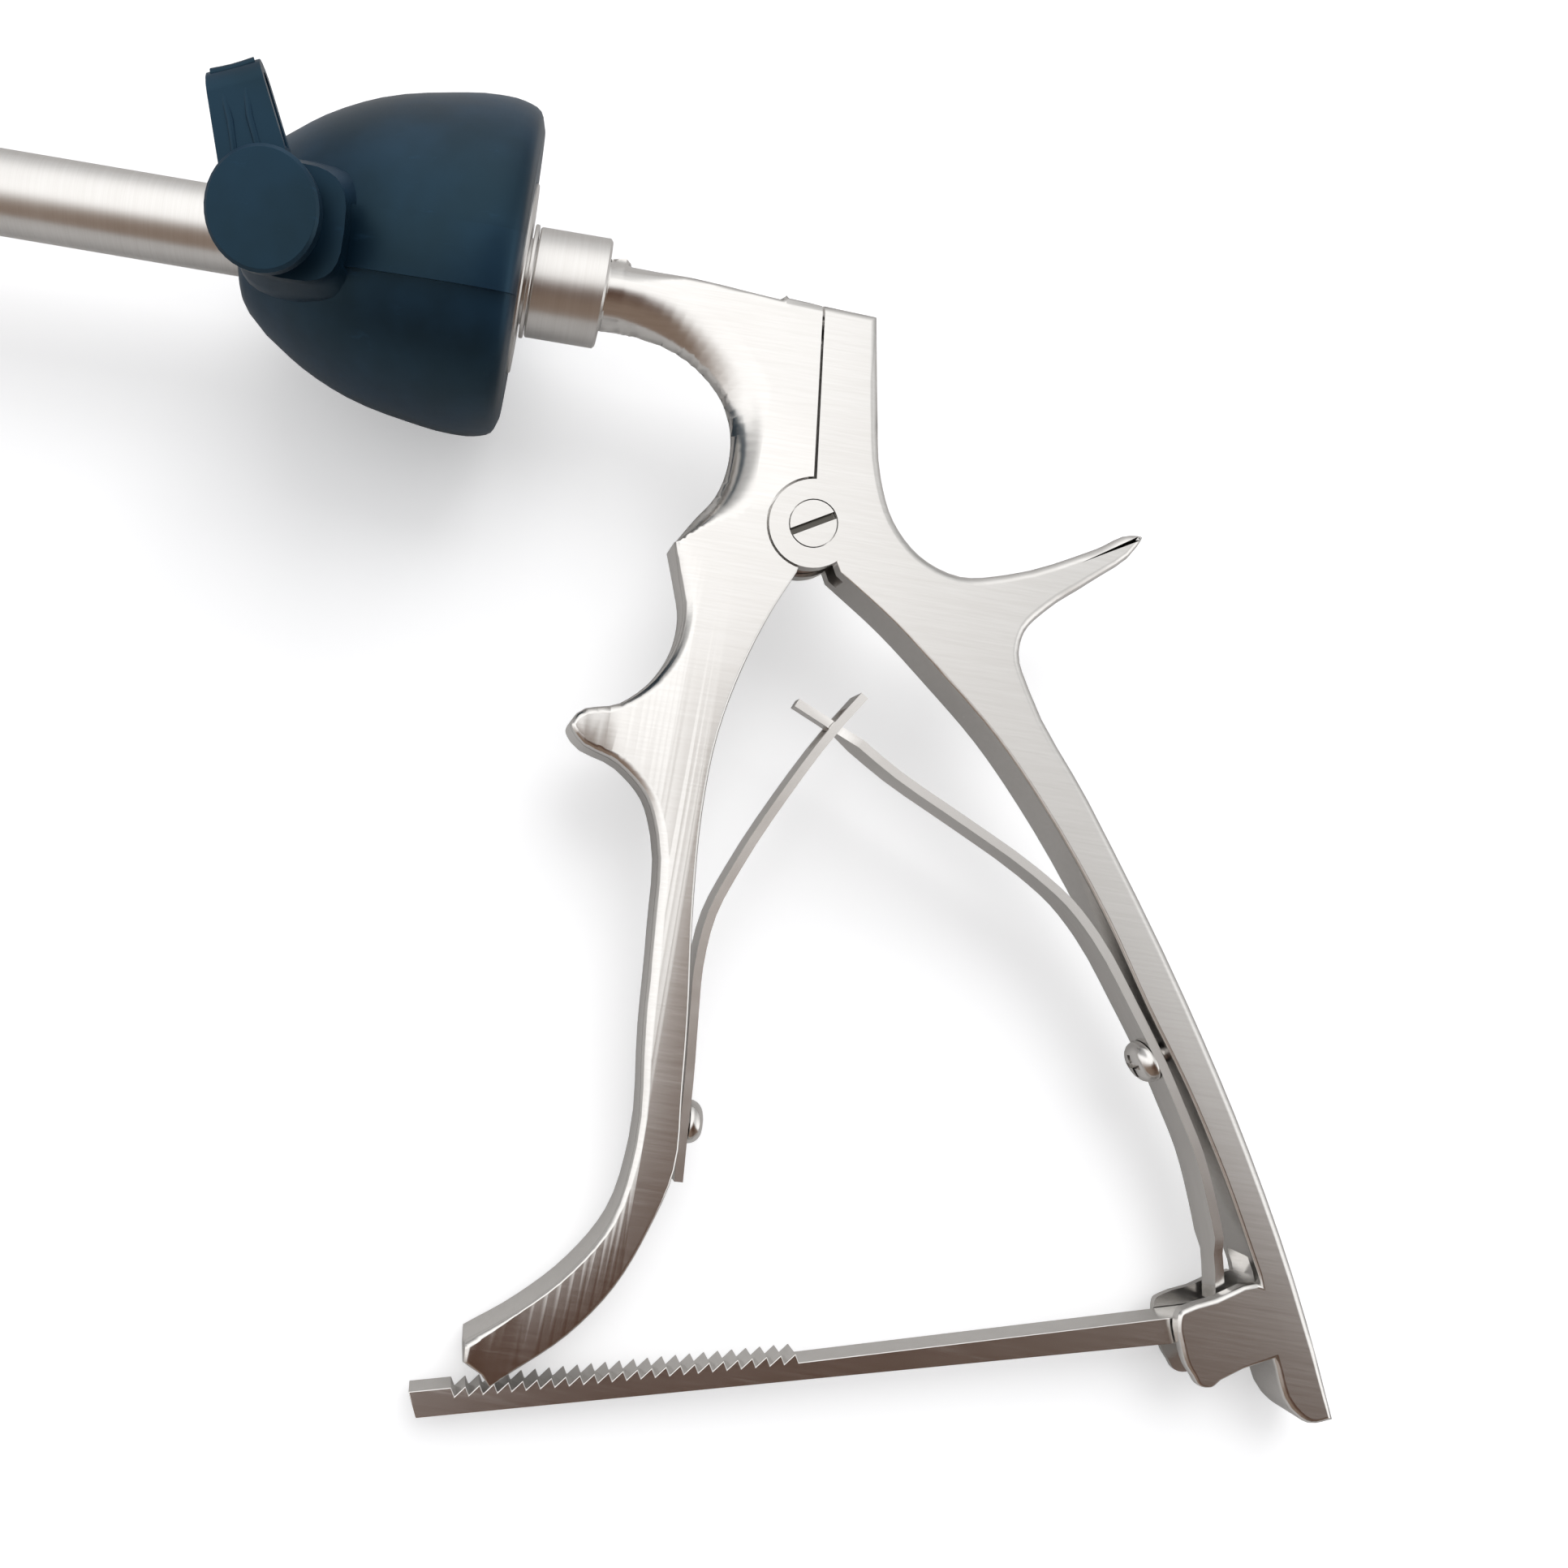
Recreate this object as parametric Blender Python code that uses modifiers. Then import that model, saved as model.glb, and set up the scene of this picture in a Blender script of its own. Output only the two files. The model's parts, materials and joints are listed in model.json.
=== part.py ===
"""Endoscopic grasping forceps with a sliding trocar cone, a pistol handle and a ratchet bar.

The instrument lies on its side. X runs along the shaft from the jaws to the handle, Z is the
axis of the handle's pivot, and every place below is measured from that pivot, halfway through
the handle's thickness. The whole model is then set with the middle of its underside at the origin.
"""

import math

import bmesh
import bpy
import numpy as np
from mathutils import Matrix, Vector

MM = 0.001

# Clearances
SLIDE_GAP = 0.3 * MM
SEAT_GAP = 0.12 * MM
PIN_GAP = 0.15 * MM

# Shaft
SHAFT_HEIGHT = 25.1 * MM
TUBE_RADIUS = 5.0 * MM
TUBE_WALL = 0.8 * MM
TUBE_START = -35.8 * MM
TUBE_LENGTH = 286.0 * MM
ROD_RADIUS = 1.75 * MM
ROD_NECK_RADIUS = 1.2 * MM
BALL_RADIUS = 2.0 * MM
BALL_X = 0.25 * MM
GUIDE_LENGTH = 6.0 * MM
GUIDE_INSET = 14.0 * MM

# Collar between shaft and handle
COLLAR_RADIUS = 6.4 * MM
COLLAR_END = -30.2 * MM
COLLAR_LENGTH = 9.1 * MM
COLLAR_RING_RADIUS = 6.6 * MM
COLLAR_RING_WIDTH = 0.55 * MM
NECK_RADIUS = 4.4 * MM

# Jaws and their housing
JAW_PIN_TO_TUBE = 18.0 * MM
JAW_LENGTH = 31.0 * MM
JAW_OPENING = math.radians(20.0)
JAW_PIN_RADIUS = 1.2 * MM
DRIVE_PIN_RADIUS = 0.9 * MM
DRIVE_PIN_REST = 3.4 * MM
HOUSING_SLOT = 2.95 * MM
HOUSING_NOSE = 3.5 * MM
SPIGOT_LENGTH = 8.0 * MM
BLADE_HALF = 1.0 * MM
TAIL_WALL = 0.85 * MM
TOOTH_PITCH = 1.5 * MM
TOOTH_DEPTH = 0.6 * MM
JAW_TEETH = 16

# Handle pivot
HANDLE_HALF = 3.5 * MM
TONGUE_HALF = 1.3 * MM
BOSS_RADIUS = 5.5 * MM
TONGUE_RADIUS = 5.0 * MM
SCREW_HEAD_RADIUS = 2.9 * MM
SCREW_HEAD_HEIGHT = 1.1 * MM
SCREW_SHANK_RADIUS = 1.8 * MM
SCREW_SLOT_ANGLE = math.radians(30.0)
SQUEEZE = math.radians(19.6)

# Leaf springs
LEAF_THICKNESS = 1.1 * MM
LEAF_HALF = 2.3 * MM
TONGUE_END_HALF = 1.0 * MM
TAIL_END_HALF = 1.5 * MM
LEAF_SCREW_HEAD = 2.8 * MM
LEAF_SCREW_RISE = 1.9 * MM
LEAF_SCREW_SHANK = 1.25 * MM
LEAF_SCREW_LENGTH = 3.4 * MM
FRONT_SCREW_Y = -75.8 * MM
REAR_SCREW_Y = -58.8 * MM

# Ratchet bar
BAR_PIVOT = (64.6 * MM, -90.4 * MM)
BAR_LENGTH = 99.0 * MM
BAR_HEEL = 4.2 * MM
BAR_HEIGHT = 3.4 * MM
BAR_HALF = 1.9 * MM
BAR_ANGLE = math.radians(15.28)
BAR_PIN_RADIUS = 1.1 * MM
BAR_PIN_COVER = 0.5 * MM
BAR_TIP = 5.4 * MM
RATCHET_PITCH = 1.8 * MM
RATCHET_DEPTH = 1.15 * MM
RATCHET_TEETH = 24
RATCHET_START = BAR_LENGTH - BAR_TIP - RATCHET_TEETH * RATCHET_PITCH

# Sliding cone and its clamp
CONE_REAR = -40.7 * MM
CONE_BORE_GAP = 0.3 * MM
SLEEVE_WALL = 1.3 * MM
SLEEVE_LENGTH = 17.0 * MM
DISC_RADIUS = 11.0 * MM
DISC_THICKNESS = 1.2 * MM
DISC_PROUD = 0.4 * MM
RIB_WIDTH = 6.4 * MM
RIB_HEIGHT = 0.9 * MM
CLAMP_X = -68.5 * MM
CLAMP_TURN = math.radians(19.6)
SADDLE_TOP = 22.0 * MM
SADDLE_LENGTH = 16.0 * MM
SADDLE_SHIFT = 2.3 * MM
SADDLE_WIDTH = 15.0 * MM
BUSH_RADIUS = 3.5 * MM
STUD_RADIUS = 2.0 * MM
HUB_RADIUS = 6.2 * MM
HUB_THICKNESS = 3.1 * MM
HUB_TOP = 28.7 * MM
HUB_STEM_RADIUS = 4.9 * MM
LEVER_REACH = 14.3 * MM
LEVER_LEAN = math.radians(21.0)
LEVER_BASE_HALF = 3.7 * MM
LEVER_TIP_HALF = 2.9 * MM
LEVER_DEPTH = 4.6 * MM
LEVER_WALL = 1.25 * MM

ROUND = 32

# Outlines in millimetres: x, y, rounding of the edge, and whether the point is a corner.
FIXED_OUTLINE = (
    (-35.0, 29.2, 3.2, True),
    (-22.0, 28.55, 2.0, False),
    (-12.0, 27.9, 1.4, False),
    (2.0, 26.8, 1.3, True),
    (2.0, 6.5, 0.1, True),
    (-1.0, -6.3, 0.2, True),
    (-3.3, -11.7, 0.3, False),
    (-5.6, -19.1, 0.4, False),
    (-7.2, -27.5, 0.4, False),
    (-7.5, -37.6, 0.4, False),
    (-6.8, -47.5, 0.4, False),
    (-4.95, -63.4, 0.3, False),
    (-4.2, -71.6, 0.3, False),
    (-3.45, -81.7, 0.4, False),
    (-5.4, -89.8, 0.5, False),
    (-8.4, -97.4, 0.5, False),
    (-13.2, -104.3, 0.5, False),
    (-19.2, -109.9, 0.4, False),
    (-21.6, -112.0, 0.2, True),
    (-22.9, -110.7, 0.4, True),
    (-25.4, -109.5, 0.6, True),
    (-25.7, -107.0, 0.9, True),
    (-19.7, -102.2, 0.3, False),
    (-14.0, -96.0, 0.4, False),
    (-10.2, -89.3, 0.6, False),
    (-8.8, -79.6, 0.9, False),
    (-10.2, -65.0, 1.3, False),
    (-11.1, -53.0, 1.3, False),
    (-12.6, -41.2, 1.3, False),
    (-14.6, -36.8, 1.2, False),
    (-18.6, -33.4, 1.1, False),
    (-24.6, -30.9, 0.7, False),
    (-25.5, -29.5, 0.7, False),
    (-24.9, -28.0, 0.8, False),
    (-19.8, -25.8, 1.0, False),
    (-16.2, -22.1, 1.5, False),
    (-14.1, -17.5, 1.5, False),
    (-13.9, -13.2, 1.5, False),
    (-15.1, -9.2, 1.3, False),
    (-16.5, -5.0, 0.6, True),
    (-14.2, -1.1, 2.3, False),
    (-12.0, 2.3, 2.8, False),
    (-11.1, 6.6, 2.8, False),
    (-11.6, 10.9, 2.8, False),
    (-13.4, 14.5, 2.8, False),
    (-16.6, 17.5, 2.8, False),
    (-20.9, 19.7, 2.8, False),
    (-25.6, 20.6, 2.9, False),
    (-35.0, 20.4, 3.4, True),
)
MOVING_OUTLINE = (
    (-6.0, 27.35, 1.3, True),
    (3.7, 26.85, 1.1, True),
    (5.8, 15.8, 1.4, False),
    (7.6, 7.4, 1.3, False),
    (10.1, 2.2, 1.3, False),
    (13.8, -1.3, 1.3, False),
    (19.4, -3.1, 1.3, False),
    (25.1, -1.9, 1.2, False),
    (35.5, 3.1, 1.0, False),
    (39.3, 5.35, 0.8, False),
    (40.6, 5.3, 0.7, False),
    (40.2, 4.0, 0.8, False),
    (35.2, -1.3, 1.0, False),
    (30.6, -5.5, 1.1, False),
    (28.4, -8.6, 1.2, False),
    (28.2, -11.4, 1.3, False),
    (30.2, -15.6, 1.3, False),
    (39.7, -27.9, 1.3, False),
    (55.7, -50.1, 1.3, False),
    (66.8, -67.6, 1.3, False),
    (77.1, -86.9, 1.2, False),
    (82.2, -98.6, 0.8, True),
    (79.4, -99.6, 0.8, False),
    (76.7, -98.2, 0.8, False),
    (73.4, -92.0, 0.6, True),
    (69.9, -82.4, 0.4, True),
    (63.55, -71.0, 0.4, False),
    (57.2, -60.9, 0.3, False),
    (50.8, -52.0, 0.3, False),
    (44.0, -42.2, 0.4, False),
    (33.4, -29.2, 0.4, False),
    (26.7, -22.3, 0.4, False),
    (19.0, -15.9, 0.4, False),
    (12.1, -10.5, 0.3, False),
    (4.3, -5.4, 0.2, True),
    (-1.5, 5.2, 0.1, True),
)
BRACKET_OUTLINE = (
    (74.5, -85.0, 0.5, True),
    (69.9, -83.5, 0.5, False),
    (65.2, -86.2, 0.6, False),
    (61.9, -87.9, 0.6, False),
    (61.1, -88.6, 0.6, False),
    (61.0, -89.8, 0.6, False),
    (61.8, -92.4, 0.6, False),
    (63.1, -95.1, 0.6, False),
    (64.1, -96.2, 0.5, False),
    (65.0, -97.2, 0.4, False),
    (66.5, -97.2, 0.4, False),
    (67.6, -96.1, 0.5, False),
    (75.5, -91.3, 0.5, True),
)
FRONT_LEAF = (
    (-2.55, -83.3),
    (-3.05, -76.0),
    (-3.35, -70.7),
    (-4.1, -62.5),
    (-4.55, -56.4),
    (-4.0, -49.6),
    (-2.0, -43.6),
    (2.5, -33.4),
    (7.4, -24.1),
    (10.2, -19.7),
)
REAR_LEAF = (
    (2.3, -21.7),
    (8.2, -24.3),
    (15.9, -28.7),
    (25.3, -33.1),
    (34.7, -37.7),
    (39.6, -40.8),
    (43.5, -44.4),
    (49.6, -52.1),
    (54.1, -58.3),
    (57.7, -63.9),
    (60.8, -69.0),
    (63.5, -75.0),
    (65.7, -81.0),
    (67.0, -87.0),
)
# Distance along the shaft and radius of the cone's outer skin, nose first, in millimetres.
CONE_SKIN = (
    (-75.6, 6.3, 0.0, True),
    (-75.0, 8.2, 0.0, False),
    (-71.9, 11.4, 0.0, True),
    (-66.8, 14.6, 0.0, False),
    (-60.6, 17.2, 0.0, False),
    (-52.4, 18.9, 0.0, False),
    (-46.6, 19.5, 0.0, False),
    (-43.6, 19.3, 0.0, False),
    (-41.5, 18.5, 0.0, False),
    (-40.7, 16.6, 0.0, True),
)

for leftover in list(bpy.data.objects):
    bpy.data.objects.remove(leftover, do_unlink=True)

PARTS = bpy.data.collections.new("grasping_forceps")
CUTTERS = bpy.data.collections.new("cutters")
bpy.context.scene.collection.children.link(PARTS)
bpy.context.scene.collection.children.link(CUTTERS)


def finish(name, colour, roughness, metallic):
    """A Principled material."""
    made = bpy.data.materials.new(name)
    made.use_nodes = True
    shader = made.node_tree.nodes["Principled BSDF"]
    shader.inputs["Base Color"].default_value = (*colour, 1.0)
    shader.inputs["Roughness"].default_value = roughness
    shader.inputs["Metallic"].default_value = metallic
    return made


SATIN_STEEL = finish("satin_steel", (0.62, 0.60, 0.57), 0.34, 1.0)
HANDLE_STEEL = finish("handle_steel", (0.60, 0.58, 0.55), 0.38, 1.0)
SPRING_STEEL = finish("spring_steel", (0.55, 0.54, 0.52), 0.28, 1.0)
SCREW_STEEL = finish("screw_steel", (0.66, 0.65, 0.63), 0.18, 1.0)
NAVY_PLASTIC = finish("navy_plastic", (0.022, 0.042, 0.075), 0.5, 0.0)
WHITE_PLASTIC = finish("white_plastic", (0.82, 0.82, 0.80), 0.45, 0.0)
BLACK_RUBBER = finish("black_rubber", (0.02, 0.02, 0.022), 0.7, 0.0)


# Placing


def anchor(name, place=(0, 0, 0), parent=None, turn=(0, 0, 0)):
    """An empty that carries the pieces of one moving body."""
    made = bpy.data.objects.new(name, None)
    made.empty_display_size = 5 * MM
    made.location = place
    made.rotation_euler = turn
    made.parent = parent
    PARTS.objects.link(made)
    return made


def place(made, collection, parent, material=None):
    """Links an object, parents it and gives it its finish."""
    collection.objects.link(made)
    made.parent = parent
    if material:
        made.data.materials.clear()
        made.data.materials.append(material)
    if collection is CUTTERS:
        made.hide_render = True
        made.display_type = "WIRE"
    return made


def from_bmesh(name, shape, collection, parent, material=None):
    data = bpy.data.meshes.new(name)
    shape.to_mesh(data)
    shape.free()
    return place(bpy.data.objects.new(name, data), collection, parent, material)


def boolean(target, operand, operation):
    step = target.modifiers.new(f"{operation.lower()}_{operand.name}", "BOOLEAN")
    step.operation = operation
    step.object = operand


def cut(target, *operands):
    for operand in operands:
        boolean(target, operand, "DIFFERENCE")


def join(target, *operands):
    for operand in operands:
        boolean(target, operand, "UNION")


def smooth(made, angle=35.0):
    """Shades round faces smooth and keeps the edges crisp."""
    made.data.shade_smooth()
    made.data.set_sharp_from_angle(angle=math.radians(angle))
    return made


# Shapes


def cylinder(name, radius, start, end, parent, along="X", centre=(0, 0), collection=CUTTERS,
             material=None, end_radius=None, sides=ROUND):
    """A round bar between two places along an axis; centre gives the other two coordinates."""
    shape = bmesh.new()
    bmesh.ops.create_cone(
        shape, cap_ends=True, segments=sides, radius1=radius,
        radius2=radius if end_radius is None else end_radius, depth=end - start,
    )
    middle = (start + end) / 2
    turns = {
        "X": (Matrix.Rotation(math.pi / 2, 4, "Y"), (middle, *centre)),
        "Y": (Matrix.Rotation(-math.pi / 2, 4, "X"), (centre[0], middle, centre[1])),
        "Z": (Matrix.Identity(4), (*centre, middle)),
    }
    turn, at = turns[along]
    bmesh.ops.transform(shape, matrix=Matrix.Translation(at) @ turn, verts=shape.verts)
    return from_bmesh(name, shape, collection, parent, material)


def box(name, low, high, parent, collection=CUTTERS):
    shape = bmesh.new()
    bmesh.ops.create_cube(shape, size=1.0)
    size = [b - a for a, b in zip(low, high)]
    middle = [(a + b) / 2 for a, b in zip(low, high)]
    matrix = Matrix.Translation(middle) @ Matrix.Diagonal((*size, 1.0))
    bmesh.ops.transform(shape, matrix=matrix, verts=shape.verts)
    return from_bmesh(name, shape, collection, parent)


def turned(name, profile, parent, material=None, collection=PARTS, closed=True, steps=ROUND):
    """A profile of (place along X, radius) turned about X; a closed profile leaves a bore.

    The outer side of the profile runs towards +X, so that the turned faces point outwards.
    """
    data = bpy.data.meshes.new(name)
    points = [(radius, 0.0, -along) for along, radius in profile]
    edges = [(i, i + 1) for i in range(len(points) - 1)]
    if closed:
        edges.append((len(points) - 1, 0))
    data.from_pydata(points, edges, [])
    made = place(bpy.data.objects.new(name, data), collection, parent, material)
    made.rotation_euler = (0, -math.pi / 2, 0)
    screw = made.modifiers.new("turn", "SCREW")
    screw.steps = steps
    screw.render_steps = steps
    screw.use_merge_vertices = True
    screw.merge_threshold = 0.00001
    screw.use_smooth_shade = True
    return made


def trace(points, steps, closed=True):
    """A smooth curve through points of (x, y, width, corner) in millimetres, as metres."""
    places = np.array([p[:2] for p in points], float) * MM
    widths = np.array([p[2] if len(p) > 2 else 0.0 for p in points]) * MM
    corners = [len(p) > 3 and p[3] for p in points]
    count = len(points)
    spans = count if closed else count - 1

    def chord(i):
        step = places[(i + 1) % count] - places[i % count]
        return step, np.linalg.norm(step)

    def slope(i, span):
        """The direction at point i, as seen from the span that starts at point span."""
        if corners[i % count] or (not closed and i in (0, count - 1)):
            step, length = chord(span)
            return step / length
        before, short = chord((i - 1) % count)
        after, far = chord(i % count)
        return (before / short * far + after / far * short) / (short + far)

    traced = []
    for i in range(spans):
        j = (i + 1) % count
        _, length = chord(i)
        flat = corners[i] and corners[j]
        parts = 1 if flat else steps
        for k in range(parts):
            t = k / parts
            at = (2 * t**3 - 3 * t**2 + 1) * places[i] + (3 * t**2 - 2 * t**3) * places[j]
            at = at + (t**3 - 2 * t**2 + t) * length * slope(i, i)
            at = at + (t**3 - t**2) * length * slope(j, i)
            traced.append((at[0], at[1], (1 - t) * widths[i] + t * widths[j]))
    if not closed:
        traced.append((*places[-1], widths[-1]))
    return np.array(traced)


def plate(name, outline, half, parent, material=None, collection=PARTS, rounds=2):
    """A flat piece from an outline of (x, y, edge rounding), lofted through its rounded edges."""
    places, rounding = outline[:, :2], outline[:, 2]
    ahead = np.roll(places, -1, axis=0) - places
    ahead = ahead / np.linalg.norm(ahead, axis=1)[:, None]
    left = np.column_stack([-ahead[:, 1], ahead[:, 0]])
    x, y = places[:, 0], places[:, 1]
    turning = np.sum(x * np.roll(y, -1) - np.roll(x, -1) * y)
    if turning < 0:
        left = -left
    behind = np.roll(left, 1, axis=0)
    inward = (left + behind) / (1 + np.sum(left * behind, axis=1))[:, None]
    rings = []
    for side in (-1, 1):
        angles = [math.pi / 2 * k / rounds for k in range(rounds + 1)]
        for angle in reversed(angles) if side < 0 else angles:
            inset = rounding * (1 - math.cos(angle))
            height = half - rounding * (1 - math.sin(angle))
            flat = places + inward * inset[:, None]
            rings.append([(*p, side * h) for p, h in zip(flat, height)])
    shape = bmesh.new()
    rows = [[shape.verts.new(p) for p in ring] for ring in rings]
    count = len(places)
    for low, high in zip(rows, rows[1:]):
        for i in range(count):
            j = (i + 1) % count
            shape.faces.new((low[i], low[j], high[j], high[i]))
    shape.faces.new(rows[0])
    shape.faces.new(rows[-1])
    bmesh.ops.recalc_face_normals(shape, faces=shape.faces)
    return from_bmesh(name, shape, collection, parent, material)


def flat_outline(name, points, low, high, parent, collection=CUTTERS, material=None):
    """A closed outline of (x, y) in metres, as a filled flat curve with thickness, made a mesh."""
    data = bpy.data.curves.new(name, "CURVE")
    data.dimensions = "2D"
    data.fill_mode = "BOTH"
    data.extrude = (high - low) / 2
    spline = data.splines.new("POLY")
    spline.points.add(len(points) - 1)
    for point, (x, y) in zip(spline.points, points):
        point.co = (x, y, 0.0, 1.0)
    spline.use_cyclic_u = True
    curve = bpy.data.objects.new(f"{name}_curve", data)
    curve.location = (0, 0, (low + high) / 2)
    bpy.context.scene.collection.objects.link(curve)
    bpy.context.view_layer.update()
    made = bpy.data.meshes.new_from_object(curve.evaluated_get(bpy.context.evaluated_depsgraph_get()))
    shape = bmesh.new()
    shape.from_mesh(made)
    bmesh.ops.transform(shape, matrix=curve.matrix_world, verts=shape.verts)
    bmesh.ops.remove_doubles(shape, verts=shape.verts, dist=0.001 * MM)
    bpy.data.objects.remove(curve, do_unlink=True)
    bpy.data.meshes.remove(made)
    return from_bmesh(name, shape, collection, parent, material)


def track(path, half):
    """The outline at a distance round an open path, with round ends."""
    path = np.asarray(path)
    step = np.gradient(path, axis=0)
    step = step / np.linalg.norm(step, axis=1)[:, None]
    side = np.column_stack([-step[:, 1], step[:, 0]]) * half
    angles = np.linspace(0, math.pi, 7)[1:-1]

    def end(i, sign):
        return [
            path[i] + side[i] * sign * math.cos(a) + np.array([side[i][1], -side[i][0]]) * sign * math.sin(a)
            for a in angles
        ]

    return [*(path + side), *end(-1, 1), *(path - side)[::-1], *end(0, -1)]


def leaf(name, path, half_widths, parent):
    """A strip of spring steel along a path, as a ribbon that Solidify makes thick."""
    shape = bmesh.new()
    rows = [
        [shape.verts.new((x, y, side * half)) for side in (-1, 1)]
        for (x, y, _), half in zip(path, half_widths)
    ]
    for (a, b), (c, d) in zip(rows, rows[1:]):
        shape.faces.new((a, b, d, c))
    made = from_bmesh(name, shape, PARTS, parent, SPRING_STEEL)
    thicken = made.modifiers.new("thickness", "SOLIDIFY")
    thicken.thickness = LEAF_THICKNESS
    thicken.offset = 0.0
    thicken.use_even_offset = True
    return made


def seat_on(path, height):
    """The point of a path at a height, with the direction square to the path on its right."""
    i = int(np.argmin(np.abs(path[:, 1] - height)))
    along = path[i + 1] - path[i - 1]
    return Vector(path[i][:2]), Vector((along[1], -along[0])).normalized()


# Shaft

ORIGIN = anchor("instrument")
SHAFT = anchor("shaft_axis", (0, SHAFT_HEIGHT, 0), ORIGIN)
TUBE_BORE = TUBE_RADIUS - TUBE_WALL
TUBE_END = TUBE_START - TUBE_LENGTH
JAW_PIN_X = TUBE_END - JAW_PIN_TO_TUBE
COLLAR_START = COLLAR_END - COLLAR_LENGTH
ROD_TRAVEL = SHAFT_HEIGHT * math.tan(SQUEEZE) + BALL_X * (1 / math.cos(SQUEEZE) - 1)
DRIVE_PIN_X = JAW_PIN_X + DRIVE_PIN_REST
TAIL_ROOM = DRIVE_PIN_REST + ROD_TRAVEL + DRIVE_PIN_RADIUS + PIN_GAP + TAIL_WALL + SLIDE_GAP


def ring_profile(start, end, inner, outer, break_edge=0.0):
    """A ring's section, its outer side towards +X, with broken outer edges."""
    return [
        (start, inner), (start, outer - break_edge), (start + break_edge, outer),
        (end - break_edge, outer), (end, outer - break_edge), (end, inner),
    ] if break_edge else [(start, inner), (start, outer), (end, outer), (end, inner)]


def outer_tube():
    turned("outer_tube", ring_profile(TUBE_END, TUBE_START, TUBE_BORE, TUBE_RADIUS), SHAFT, SATIN_STEEL)


def tube_collar():
    step = TUBE_START + SEAT_GAP
    turned("tube_collar", [
        (COLLAR_START, TUBE_RADIUS + PIN_GAP),
        (COLLAR_START, COLLAR_RADIUS - 0.2 * MM),
        (COLLAR_START + 0.2 * MM, COLLAR_RADIUS),
        (COLLAR_END - 0.3 * MM, COLLAR_RADIUS),
        (COLLAR_END, COLLAR_RADIUS - 0.3 * MM),
        (COLLAR_END, NECK_RADIUS + PIN_GAP),
        (step, NECK_RADIUS + PIN_GAP),
        (step, TUBE_RADIUS + PIN_GAP),
    ], SHAFT, SATIN_STEEL, steps=40)


def collar_ring():
    end = COLLAR_START - SEAT_GAP
    turned(
        "collar_ring",
        ring_profile(end - COLLAR_RING_WIDTH, end, TUBE_RADIUS + PIN_GAP, COLLAR_RING_RADIUS, 0.12 * MM),
        SHAFT, SCREW_STEEL, steps=40,
    )


def rod_guides():
    """Two plastic guides that keep the rod in the middle of the tube."""
    for name, middle in (("rear_rod_guide", TUBE_START - GUIDE_INSET),
                         ("front_rod_guide", TUBE_END + SPIGOT_LENGTH + GUIDE_INSET)):
        turned(
            name,
            ring_profile(middle - GUIDE_LENGTH / 2, middle + GUIDE_LENGTH / 2,
                         ROD_RADIUS + PIN_GAP, TUBE_BORE - PIN_GAP, 0.3 * MM),
            SHAFT, WHITE_PLASTIC, steps=24,
        )


# Rod

ROD = anchor("rod_slide", (0, 0, 0), SHAFT)


def actuating_rod():
    """A round rod, a ball at the handle's end and a flat blade with a cross hole at the jaws."""
    blade_start = JAW_PIN_X + TAIL_ROOM + SLIDE_GAP
    ball_points = [
        (BALL_X + BALL_RADIUS * math.cos(a), BALL_RADIUS * math.sin(a))
        for a in np.linspace(math.pi - math.asin(ROD_NECK_RADIUS / BALL_RADIUS), 0, 9)
    ]
    ball_points[-1] = (BALL_X + BALL_RADIUS, 0.0)
    shoulder = BALL_X - BALL_RADIUS - 2.6 * MM
    made = turned("actuating_rod", [
        (blade_start, 0.0),
        (blade_start, ROD_RADIUS),
        (shoulder - 0.6 * MM, ROD_RADIUS),
        (shoulder, ROD_NECK_RADIUS),
        *ball_points,
    ], ROD, SCREW_STEEL, closed=False, steps=24)
    nose = DRIVE_PIN_REST - JAW_PIN_RADIUS - 0.4 * MM
    middle = np.array([[DRIVE_PIN_X, 0.0], [blade_start + MM, 0.0]])
    blade = flat_outline("rod_blade", track(middle, min(nose, ROD_RADIUS)), -BLADE_HALF, BLADE_HALF, ROD)
    join(made, blade)
    pin_hole = DRIVE_PIN_RADIUS + PIN_GAP
    cut(made, cylinder("rod_pin_hole", pin_hole, -3 * MM, 3 * MM, ROD, "Z", (DRIVE_PIN_X, 0)))


def drive_pin():
    reach = math.sqrt(TUBE_RADIUS**2 - (DRIVE_PIN_RADIUS * 1.4) ** 2) - SEAT_GAP
    smooth(cylinder("drive_pin", DRIVE_PIN_RADIUS, -reach, reach, ROD, "Z", (DRIVE_PIN_X, 0),
                    PARTS, SCREW_STEEL, sides=20))


# Jaws

HOUSING = anchor("jaw_pivot", (JAW_PIN_X, 0, 0), SHAFT)
UPPER_JAW = anchor("upper_jaw_hinge", (0, 0, 0), HOUSING, (0, 0, -JAW_OPENING))
LOWER_JAW = anchor("lower_jaw_hinge", (0, 0, 0), HOUSING, (0, 0, JAW_OPENING))


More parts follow.
